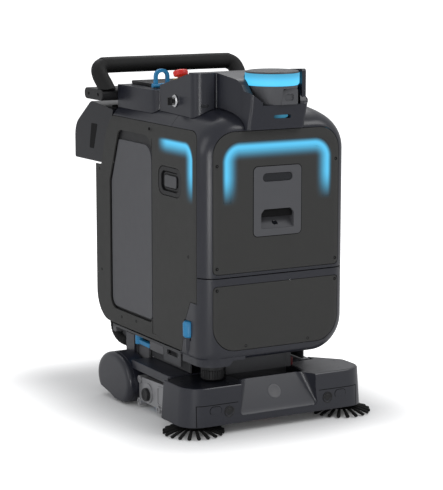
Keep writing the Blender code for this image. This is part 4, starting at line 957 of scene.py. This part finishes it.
def build_handle():
    """The bent grip and its left bracket."""
    route = [(-0.211, 0.557, 0.842), (-0.214, 0.575, 0.863), (-0.2185, 0.595, 0.8865),
        (-0.215, 0.611, 0.9045), (-0.201, 0.6185, 0.9135), (-0.178, 0.62, 0.9155),
        (0.0, 0.62, 0.9155)]
    other = [(-x, depth, height) for x, depth, height in reversed(route[:-1])]
    bar = tube("handle_bar", route + other, HANDLE_R, 40, 8)
    cut(bar, box("cut", (-0.3, 0.5, 0.8), (0.3, 0.7, 0.8536)))
    bracket = prism("left_handle_bracket", fillet([(0.552, 0.8215, 0.012), (0.668, 0.8215, 0.014),
        (0.668, 0.853, 0.014), (0.552, 0.853, 0.012)], 4), "x", -0.235, -0.13)
    for depth in (0.58, 0.64):
        cut(bracket, drum("hole", (0, depth, 0.8375), LEFT, 0.0042, 0.225, 0.24, steps=24))
    return bracket


def build_console():
    """The console behind the body: a hollow housing with the touchscreen on its sloping back."""
    housing = prism("console_housing", console_outline(0), "x", -0.204, 0.204)
    hollow = fillet([(0.45, 0.782), (0.4, 0.646), (0.7975, 0.6445, 0.004), (0.7975, 0.7326, 0.056),
        (0.6889, 0.8073, 0.036)], 5)
    carve(housing, hollow, "x", -0.1995, 0.1995)
    middle = Vector((0.0, 0.7391, 0.7782))
    normal = Vector((0.0, math.sin(SCREEN_TILT), math.cos(SCREEN_TILT)))
    along = Vector((0.0, math.cos(SCREEN_TILT), -math.sin(SCREEN_TILT)))

    def slab(name, half_w, half_h, low, high):
        rings = []
        for lift in (low, high):
            ring = []
            for a, b in rectangle(-half_w, -half_h, half_w, half_h, 0.004, 2):
                point = middle + along * b + normal * lift
                ring.append(place(a, point.y, point.z))
            rings.append(ring)
        return loft(name, rings)

    join(housing, slab("screen_back", 0.11, 0.05, -0.018, -0.003))
    cut(housing, slab("cut", 0.09, 0.0425, -0.012, 0.05))
    slab("touchscreen", 0.0893, 0.0418, -0.0117, -0.001)


# ---- Small details that the CAD leaves out


def screw(centre, axis, radius=0.0043):
    """A countersunk screw head with a socket, standing just proud of the surface."""
    return turned("screw", [(0, -0.0012), (radius * 0.42, -0.0012), (radius * 0.46, 0.0004),
        (radius * 0.8, 0.0007), (radius, 0.0002), (radius, -0.0014), (0, -0.002)], centre, axis, 20)


FRONT_SCREWS = [(side * 0.1775, height) for side in (-1, 1) for height in (0.697, 0.433, 0.3765)]
SIDE_SCREWS = [(0.61, 0.627), (0.601, 0.341), (0.302, 0.767), (0.475, 0.226), (0.386, 0.23),
    (0.082, 0.456)]


def build_screws():
    """The screws that hold the front and side panels and the bumper's lid."""
    heads = [screw((x, 0.0008, height), AHEAD) for x, height in FRONT_SCREWS]
    heads += [screw((x, 0.0004, 0.2245), AHEAD) for x in (-0.093, 0.095)]
    for side in (-1, 1):
        heads += [screw((side * (BODY_HALF_W - 0.0002), depth, height), (side, 0, 0))
            for depth, height in SIDE_SCREWS if side < 0 or height > 0.3]
    gather("cover_screws", heads)
    places = ((0.139, 0.014), (0.209, 0.019), (0.236, 0.09))
    gather("bumper_screws", [screw((side * x, depth, DECK_TOP), UP, 0.0042)
        for side in (-1, 1) for x, depth in places])


def build_bumper_marks():
    """Round sensor caps, oval plugs and a plain round disc on the bumper's face."""
    cap = [(0, -0.002), (0.015, -0.002), (0.015, 0.0012), (0.0135, 0.0018), (0.0118, 0.0002),
        (0.009, 0.0002), (0.0078, 0.0012), (0, 0.0014)]
    gather("bumper_sensor_caps", [turned("cap", cap, (side * CAP_X, BUMPER_FRONT - 0.001, 0.06),
        AHEAD, 40) for side in (-1, 1)])
    for name, grow, proud in (("bumper_plugs", 0.0, 0.0021), ("bumper_plug_edges", 0.0015, 0.0012)):
        gather(name, [prism("plug", rectangle(side * PLUG_X - 0.0165 - grow, 0.0555 - grow,
            side * PLUG_X + 0.0165 + grow, 0.0765 + grow, 0.01 + grow, 8), "y",
            BUMPER_FRONT - proud, BUMPER_FRONT + 0.003) for side in (-1, 1)])
    slope = math.atan2(SCOOP_DEEP - BUMPER_FRONT, DECK_TOP - SCOOP_LOW)
    turned("bumper_disc", [(0, -0.001), (0.019, -0.001), (0.019, 0.0006), (0.018, 0.0011),
        (0.015, 0.0011), (0.014, 0.0005), (0, 0.0005)],
        (0.0, BUMPER_FRONT + (0.09 - SCOOP_LOW) * math.tan(slope) - 0.0004, 0.09),
        (0, -math.cos(slope), math.sin(slope)), 48).name = "bumper_disc"


def build_bumper_lines():
    """Thin dark strips on the joints of the bumper's cover, and a pale copy over the cover's right
    half: painted light where the lid is lit, against the painted shade of its left half under the
    body.
    """
    strips = []
    for side in (-1, 1):
        for outline in ([(0.1235, 0.0828), (0.2426, 0.0828), (0.2426, 0.0808), (0.1235, 0.0808)],
                [(0.2426, 0.0828), (0.2446, 0.0828), (0.2446, 0.027), (0.2426, 0.027)]):
            band = prism("line", [(side * a, b) for a, b in outline], "y", -0.05, 0.06)
            line = loft("line", [bumper_ring(0.00025, height, BUMPER_REAR)
                for height in BUMPER_HEIGHTS])
            cut(line, bumper_core(-0.001))
            strips.append(keep(line, band))
    strips.append(prism("line", rectangle(-0.1216, -0.006, -0.1204, 0.115), "z", DECK_TOP - 0.001,
        DECK_TOP + 0.0003))
    gather("bumper_joint_lines", strips)
    half, front = BUMPER_HALF_W - 0.0062, BUMPER_FRONT + 0.0062
    cover = prism("right_bumper_cover", fillet([(0.108, front), (half, front, 0.049),
        (half, 0.092, 0.0254), (0.199, 0.158), (0.199, 0.134), (0.112, 0.134)], 10), "z",
        DECK_TOP - 0.0005, DECK_TOP + 0.0006)
    cut(cover, scoop(0.0012))
    cover.name = "right_bumper_cover"


def build_side_details():
    """The side cameras' pads, the dark seats behind the inserts and the sensor plate's edge."""
    for side, label in ((-1, "left"), (1, "right")):
        pad = prism("pad", rectangle(0.152, 0.624, 0.217, 0.655, 0.007, 8), "x",
            *span(side, 0.212, 0.2156))
        pad.name = f"{label}_camera_pad"
        seat = prism("seat", insert_opening(0.0015), "x", *span(side, 0.2092, 0.2102))
        carve(seat, insert_outline(0.0012), "x", *span(side, 0.208, 0.212))
        seat.name = f"{label}_insert_seat"
    edge = prism("edge", rectangle(-0.0732, 0.5063, 0.0732, 0.6907, 0.0136, 14), "y", -0.0004,
        0.0008)
    carve(edge, rectangle(-0.0706, 0.5089, 0.0706, 0.6881, 0.0115, 14), "y", -0.01, 0.01)
    edge.name = "sensor_surround"


def build_under_details():
    """Pipes and blocks that show between the body and the deck."""
    post = turned("frame_post", [(0, 0.129), (0.008, 0.129), (0.0092, 0.132), (0.0092, 0.148),
        (0.007, 0.151), (0, 0.151)], (0.106, 0.11, 0), UP)
    post.name = "frame_post"
    blocks = [prism("block", rectangle(0.545, 0.168, 0.566, 0.1845, 0.004), "x", -0.202, -0.176),
        prism("block", rectangle(0.262, 0.158, 0.342, 0.1845, 0.004), "x", -0.199, -0.18),
        prism("block", rectangle(0.374, 0.11, 0.46, 0.156, 0.003), "x", -0.186, -0.18)]
    gather("side_brackets", blocks)
    wire = [(-0.2135, 0.086, 0.287), (-0.214, 0.087, 0.3), (-0.215, 0.083, 0.318),
        (-0.2135, 0.076, 0.334), (-0.209, 0.07, 0.345)]
    tube("drain_cord", wire, 0.0013, 10, 5).name = "drain_strap"
    tube("drain_hose", [(-0.213, 0.086, 0.245), (-0.213, 0.087, 0.23), (-0.212, 0.088, 0.214),
        (-0.208, 0.09, 0.2)], 0.0105, 24, 5).name = "drain_pipe"


def build_console_marks():
    """Black sheets on the console's sides that paint the shade of its grip recesses, and a black
    oval on its shoulder that paints the shade of a hole.
    """
    for side, label in ((-1, "left"), (1, "right")):
        ends = span(side, 0.2034, 0.2044)
        outline = fillet([(0.65, 0.748, 0.004), (0.69, 0.748, 0.004), (0.704, 0.676, 0.004),
            (0.676, 0.676, 0.004)], 5)
        # painted shade: a flat black sheet stands for the grip recess
        prism("slot", outline, "x", *ends).name = f"{label}_console_slot"
    oval = turned("oval", [(0, -0.002), (0.0155, -0.002), (0.0155, 0.0008), (0.013, 0.0014),
        (0.011, 0.0002), (0, 0.0002)], (-0.17, 0.592, 0.8016), (0, -0.105, 1), 40)
    # painted shade: a black oval stands for the hole's dark inside
    oval.name = "console_port"


build_upper_shell()
build_lower_shell()
build_front_panels()
build_sensor_plate()
build_side(left=True)
build_side(left=False)
build_rear_panel()
build_inside()
build_chassis()
build_deck_cover()
build_bumper()
build_bumper_top()
build_scrub_deck()
build_side_brush("left_side_brush", -SIDE_BRUSH[0])
build_side_brush("right_side_brush", SIDE_BRUSH[0])
mirrored(build_brush_motor(), "right_brush_motor")
left_wheel, left_cover = build_drive()
mirrored(left_wheel, "right_drive_wheel")
mirrored(left_cover, "right_wheel_cover")
build_caster()
build_squeegee()
build_hose()
build_valve()
build_filter()
build_drain_cap()
build_head()
build_beacon()
build_controls()
build_rear_deck()
mirrored(build_handle(), "right_handle_bracket")
build_console()
build_screws()
build_bumper_marks()
build_bumper_lines()
build_side_details()
build_under_details()
build_console_marks()

# Pieces that stand for no CAD node: the body that each rides on and the slot of its finish
EXTRAS = {name: ride_and_slot for ride_and_slot, names in {
    ("bumper", "black_plastic"):
        "bumper_joint_lines bumper_screws bumper_sensor_caps bumper_plug_edges",
    ("bumper", "deck_gray"):
        "right_bumper_cover bumper_disc",
    ("roller", "black_plastic"):
        "brush_knob",
    ("chassis", "insert_gray"):
        "left_camera_pad right_camera_pad",
    ("chassis", "black_plastic"):
        "left_insert_seat right_insert_seat sensor_surround cover_screws left_console_slot "
        "right_console_slot",
    ("bumper", "insert_gray"):
        "bumper_plugs",
    ("chassis", "caster_red"):
        "frame_post",
    ("chassis", "deck_gray"):
        "side_brackets",
    ("chassis", "black_rubber"):
        "drain_strap",
    ("chassis", "shell_paint"):
        "drain_pipe",
    ("chassis", "dark_glass"):
        "console_port dock_lens dock_window tower_window",
    ("chassis", "light_cyan"):
        "eye_light",
}.items() for name in names.split()}


# ---- Materials


def fill(node, values):
    """Sets constants on a node's inputs."""
    for name, value in values.items():
        node.inputs[name].default_value = value


class Number:
    """A number at one place in a material's nodes, so that sums can be written as sums."""

    def __init__(self, tree, socket):
        self.tree = tree
        self.socket = socket

    def math(self, operation, *others):
        node = self.tree.nodes.new("ShaderNodeMath")
        node.operation = operation
        for slot, value in zip(node.inputs, (self, *others)):
            if isinstance(value, Number):
                self.tree.links.new(value.socket, slot)
            else:
                slot.default_value = value
        return Number(self.tree, node.outputs[0])

    def __add__(self, other):
        return self.math("ADD", other)

    def __sub__(self, other):
        return self.math("SUBTRACT", other)

    def __mul__(self, other):
        return self.math("MULTIPLY", other)

    def __rsub__(self, other):
        return self.math("MULTIPLY", -1.0) + other

    def abs(self):
        return self.math("ABSOLUTE")

    def step(self, low, high):
        """0 below low, 1 above high, with a smooth ramp between; low may be the larger."""
        node = self.tree.nodes.new("ShaderNodeMapRange")
        node.interpolation_type = "SMOOTHSTEP"
        self.tree.links.new(self.socket, node.inputs["Value"])
        fill(node, {"From Min": min(low, high), "From Max": max(low, high),
            "To Min": 0.0 if low < high else 1.0, "To Max": 1.0 if low < high else 0.0})
        return Number(self.tree, node.outputs["Result"])


def coordinates(tree):
    """x, depth and height of the shaded point, at rest."""
    place_node = tree.nodes.new("ShaderNodeTexCoord")
    parts = tree.nodes.new("ShaderNodeSeparateXYZ")
    tree.links.new(place_node.outputs["Object"], parts.inputs[0])
    x, y, z = (Number(tree, socket) for socket in parts.outputs)
    return place_node.outputs["Object"], x, y - FRONT, z


def noise(tree, where, scale, detail):
    node = tree.nodes.new("ShaderNodeTexNoise")
    fill(node, {"Scale": scale, "Detail": detail})
    tree.links.new(where, node.inputs["Vector"])
    return Number(tree, node.outputs["Fac"])


def corner_glow(a, top, half, height, radius, outer, reach):
    """How bright a light band is whose outer edge is a rounded arch in (a, height)."""
    across = a.abs() - (half - radius)
    up = height - (top - radius)
    far = (across.math("MAXIMUM", 0.0).math("POWER", 2.0) + up.math("MAXIMUM", 0.0).math("POWER",
        2.0)).math("SQRT")
    inside = across.math("MAXIMUM", up).math("MINIMUM", 0.0)
    depth_in = radius - (far + inside)
    return (depth_in.step(0.0, outer) * depth_in.step(reach, outer * 0.7)).math("POWER", 1.5)


def front_glow(x, depth, height):
    band = corner_glow(x, 0.7595, 0.167, height, 0.056, 0.017, 0.056)
    return band * height.step(0.59, 0.67)


def side_glow(x, depth, height):
    band = corner_glow(0.656 - depth, 0.755, 0.6035, height, 0.05, 0.0125, 0.052)
    narrow = height.step(0.59, 0.68)
    return band * narrow * depth.step(0.256, 0.196)


LOOKS = {
    # colour, second colour, roughness, metallic, specular, grain per metre, grain depth
    "shell_paint": ((0.0135, 0.0145, 0.0215), (0.017, 0.0182, 0.0262), 0.3, 0.0, 0.55, 900,
                    0.000012),
    "panel_charcoal": ((0.038, 0.038, 0.0365), (0.044, 0.044, 0.0425), 0.58, 0.0, 0.28, 1400,
                    0.0001),
    "insert_gray": ((0.078, 0.079, 0.086), (0.088, 0.089, 0.096), 0.5, 0.0, 0.35, 1200, 0.00008),
    "deck_gray": ((0.105, 0.105, 0.112), (0.118, 0.118, 0.124), 0.5, 0.0, 0.35, 1100, 0.00008),
    "black_plastic": ((0.009, 0.009, 0.01), (0.013, 0.013, 0.014), 0.45, 0.0, 0.4, 1100, 0.00006),
    "handle_foam": ((0.0055, 0.0055, 0.0055), (0.009, 0.009, 0.009), 0.62, 0.0, 0.3, 700, 0.00018),
    "black_rubber": ((0.008, 0.008, 0.008), (0.013, 0.013, 0.013), 0.75, 0.0, 0.25, 600, 0.00015),
    "bristle": ((0.002, 0.002, 0.002), (0.006, 0.006, 0.006), 0.7, 0.0, 0.2, 900, 0.0004),
    "scrub_nylon": ((0.015, 0.12, 0.28), (0.03, 0.18, 0.38), 0.7, 0.0, 0.3, 500, 0.0006),
    "cast_aluminium": ((0.3, 0.3, 0.31), (0.4, 0.4, 0.41), 0.46, 0.55, 0.5, 420, 0.00025),
    "coated_steel": ((0.05, 0.051, 0.055), (0.062, 0.063, 0.067), 0.48, 0.1, 0.4, 700, 0.0001),
    "steel": ((0.52, 0.52, 0.53), (0.64, 0.64, 0.65), 0.22, 1.0, 0.5, 800, 0.00003),
    "service_blue": ((0.018, 0.2, 0.42), (0.026, 0.25, 0.5), 0.4, 0.0, 0.45, 900, 0.00006),
    "stop_red": ((0.64, 0.018, 0.014), (0.74, 0.026, 0.02), 0.32, 0.0, 0.45, 900, 0.00004),
    "caster_red": ((0.48, 0.022, 0.026), (0.56, 0.03, 0.034), 0.5, 0.0, 0.35, 700, 0.00012),
    "stop_yellow": ((0.8, 0.52, 0.018), (0.88, 0.59, 0.026), 0.4, 0.0, 0.4, 900, 0.00004),
    "light_cyan": ((0.03, 0.06, 0.075), (0.036, 0.068, 0.085), 0.5, 0.0, 0.3, 1200, 0.00004),
    "dark_glass": ((0.008, 0.009, 0.012), (0.011, 0.012, 0.015), 0.1, 0.0, 0.5, 300, 0.00001),
    "tank_plastic": ((0.22, 0.23, 0.24), (0.26, 0.27, 0.28), 0.45, 0.0, 0.35, 500, 0.0002),
    "post_red": ((0.09, 0.01, 0.012), (0.12, 0.014, 0.016), 0.5, 0.0, 0.35, 700, 0.00012),
    "screw_black": ((0.0015, 0.0015, 0.0018), (0.003, 0.003, 0.0035), 0.6, 0.0, 0.15, 900, 0.00002),
    "shell_dark": ((0.0045, 0.005, 0.008), (0.0065, 0.007, 0.011), 0.3, 0.0, 0.4, 900, 0.000012),
    "shell_light": ((0.052, 0.053, 0.058), (0.062, 0.063, 0.068), 0.42, 0.0, 0.4, 900, 0.00004),
    "deck_black": ((0.007, 0.008, 0.011), (0.011, 0.012, 0.016), 0.42, 0.0, 0.4, 700, 0.0001),
    "pad_gray": ((0.06, 0.061, 0.066), (0.07, 0.071, 0.076), 0.4, 0.0, 0.4, 1000, 0.00005),
}
NODE_LOOKS = {name: look for look, names in {
    "screw_black":
        # the pocket's black sheet in this group is painted shade of its deep slot
        "dock_window cover_screws bumper_screws bumper_joint_lines bumper_plug_edges "
        # the console's grip sheets and its oval in this group are painted shade of recesses and a
        # hole
        "sensor_surround console_port left_console_slot right_console_slot",
    "post_red":
        "frame_post",
    "shell_paint":
        "bumper_plugs",
    "shell_dark":
        # the bumper's lid takes the dark shell paint as painted shade from the body above it, and
        # its right half gets a pale copy as painted light
        "console_housing bumper_top",
    "deck_black":
        "scrub_deck",
    "panel_charcoal":
        "front_light_strip left_light_strip right_light_strip",
    "shell_light":
        "lidar_cap",
    "pad_gray":
        "left_camera_pad right_camera_pad",
}.items() for name in names.split()}
PATCH_SCALE, WEAR_SCALE = 9.0, 38.0  # colour patches and wear per metre
WEAR = 0.10  # spread of the roughness
GLOW_COLOUR = (0.085, 0.600, 0.98, 1.0)
finished = {}


def finish(slot, glow=None):
    """The procedural material of a slot; glow adds light that the surface gives off."""
    key = slot if glow is None else f"{slot}_{glow.__name__}"
    if key in finished:
        return finished[key]
    dark, light, rough, metal, specular, grain, depth = LOOKS[slot]
    material = bpy.data.materials.new(key)
    material.use_nodes = True
    tree = material.node_tree
    shader = tree.nodes["Principled BSDF"]
    where, x, deep, high = coordinates(tree)
    patches = noise(tree, where, PATCH_SCALE, 4.0)
    fine = noise(tree, where, grain, 2.0)
    blend = tree.nodes.new("ShaderNodeMix")
    blend.data_type = "RGBA"
    fill(blend, {"A": (*dark, 1), "B": (*light, 1)})
    mixed = patches * 0.65 + fine * 0.35
    tree.links.new(mixed.socket, blend.inputs["Factor"])
    tree.links.new(blend.outputs["Result"], shader.inputs["Base Color"])
    worn = noise(tree, where, WEAR_SCALE, 3.0)
    tree.links.new((worn * WEAR + (rough - WEAR / 2)).socket, shader.inputs["Roughness"])
    fill(shader, {"Metallic": metal, "Specular IOR Level": specular})
    bump = tree.nodes.new("ShaderNodeBump")
    fill(bump, {"Strength": 0.6, "Distance": depth})
    tree.links.new(fine.socket, bump.inputs["Height"])
    tree.links.new(bump.outputs["Normal"], shader.inputs["Normal"])
    if glow:
        shader.inputs["Emission Color"].default_value = GLOW_COLOUR
        tree.links.new(glow(x, deep, high).socket, shader.inputs["Emission Strength"])
    finished[key] = material
    return material


def ring_glow(x, depth, height):
    return height.step(0.926, 0.904) * 0.45 + 0.62


def slot_glow(x, depth, height):
    return x.step(-0.03, 0.012) * 0.3


# On the front and side panels the glow is painted light: the strips' light washing over the panel
# faces, given off by the panels themselves. The strips and the beacon ring are lamps.
GLOWS = {
    "upper_front_panel": front_glow, "front_light_strip": front_glow,
    "left_side_panel": side_glow, "left_light_strip": side_glow,
    "right_side_panel": side_glow, "right_light_strip": side_glow,
    "lidar_ring": ring_glow, "eye_light": slot_glow,
}

body_of = {node: body for body, nodes in frame["record"]["behaviour"]["bodies"].items()
    for node in nodes}
slot_of = {entry["node"]: entry["material_slot"] for entry in frame["record"]["subparts"]}

BEVEL, DETAIL_BEVEL = 0.0010, 0.0004  # usual width of rounded edges, and on small details
BEVELS = {"sensor_plate": 0.0006, "left_side_brush": 0.0, "right_side_brush": 0.0,
          "front_bumper": 0.0016, "bumper_top": 0.0016, "console_housing": 0.002,
          "head_shell": 0.0022, "left_handle_bracket": 0.002, "right_handle_bracket": 0.002,
          "left_side_insert": 0.0012, "right_side_insert": 0.0012, "rear_deck": 0.002,
          "tank_lid": 0.0015, "suction_hose": 0.0, "handle_bar": 0.0015}


def round_off(piece, width):
    """Smooth shading, and narrow rounded edges where the width isn't 0."""
    piece.data.shade_smooth()
    if width:
        edge = piece.modifiers.new("edges", "BEVEL")
        edge.width = width
        edge.segments = 2
        edge.limit_method = "ANGLE"
        edge.angle_limit = math.radians(32)
        edge.harden_normals = True
        edge.use_clamp_overlap = True
    else:
        piece.data.set_sharp_from_angle(angle=math.radians(40))


nodes_known = set(frame["nodes"])
for piece in list(bpy.context.scene.collection.all_objects):
    if piece.type != "MESH" or piece.name in nodes_known:
        continue
    if piece.name.endswith(SKIN_MARK):
        node = piece.name[:-len(SKIN_MARK)]
        body, slot = body_of[node], slot_of[node]
        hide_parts(node)
        width = BEVELS.get(node, BEVEL)
    else:
        node = piece.name
        body, slot = EXTRAS[node]
        width = DETAIL_BEVEL
    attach(piece, body)
    piece.data.materials.clear()
    piece.data.materials.append(finish(NODE_LOOKS.get(node, slot), GLOWS.get(node)))
    round_off(piece, width)

# ---- Floor and light
FLOOR_NEAR, FLOOR_FAR = 0.02, 0.85  # light that the paper adds below the machine and around it; less of it near the machine paints the machine's shadow on the floor
SHADE_HALF_W, SHADE_HALF_D, SHADE_FADE = 0.24, 0.34, 0.40  # the painted shadow's extent and its soft edge
floor_mesh = bpy.data.meshes.new("floor")
floor_mesh.from_pydata([(x, y, -0.0005) for x, y in ((-30, -30), (30, -30), (30, 30), (-30, 30))],
    [], [(0, 1, 2, 3)])
floor = show("floor", floor_mesh)
white = bpy.data.materials.new("floor_white")
white.use_nodes = True
paper = white.node_tree.nodes["Principled BSDF"]
fill(paper, {"Base Color": (0.80, 0.80, 0.80, 1), "Roughness": 0.9, "Specular IOR Level": 0.0,
             "Emission Color": (1, 1, 1, 1)})
where, x, deep, high = coordinates(white.node_tree)
beside = x.abs() - SHADE_HALF_W
beyond = (deep + FRONT).abs() - SHADE_HALF_D
distance = (beside.math("MAXIMUM", 0.0).math("POWER", 2.0) + beyond.math("MAXIMUM",
    0.0).math("POWER", 2.0)).math("SQRT")
lift = distance.step(0.0, SHADE_FADE) * (FLOOR_FAR - FLOOR_NEAR) + FLOOR_NEAR
eye = white.node_tree.nodes.new("ShaderNodeLightPath")
lift = lift * Number(white.node_tree, eye.outputs["Is Camera Ray"])
white.node_tree.links.new(lift.socket, paper.inputs["Emission Strength"])
floor_mesh.materials.append(white)

world = bpy.data.worlds.new("studio")
world.use_nodes = True
tree = world.node_tree
studio = tree.nodes["Background"]
fill(studio, {"Color": (0.97, 0.98, 1.0, 1), "Strength": 0.55})
seen = tree.nodes.new("ShaderNodeBackground")
fill(seen, {"Color": (1, 1, 1, 1), "Strength": 1.0})
path = tree.nodes.new("ShaderNodeLightPath")
both = tree.nodes.new("ShaderNodeMixShader")
tree.links.new(path.outputs["Is Camera Ray"], both.inputs[0])
tree.links.new(studio.outputs[0], both.inputs[1])
tree.links.new(seen.outputs[0], both.inputs[2])
tree.links.new(both.outputs[0], tree.nodes["World Output"].inputs[0])
bpy.context.scene.world = world
bpy.context.scene.view_settings.view_transform = "Standard"


def softbox(name, place_at, target, size, power):
    light = bpy.data.lights.new(name, "AREA")
    light.shape = "RECTANGLE"
    light.size, light.size_y = size
    light.energy = power
    box_light = show(name, light)
    box_light.location = place_at
    box_light.rotation_euler = (Vector(target) - Vector(place_at)).to_track_quat("-Z",
        "Y").to_euler()


softbox("key", (2.2, -2.4, 3.4), (0, 0, 0.4), (2.2, 2.2), 46)
softbox("side", (-3.6, -0.6, 2.0), (0, 0, 0.45), (1.8, 2.6), 20)
softbox("top", (0.6, 1.6, 3.2), (0, 0, 0.6), (2.4, 2.0), 30)
softbox("low", (-1.7, -2.2, 0.45), (0, -0.3, 0.1), (0.8, 0.5), 9)
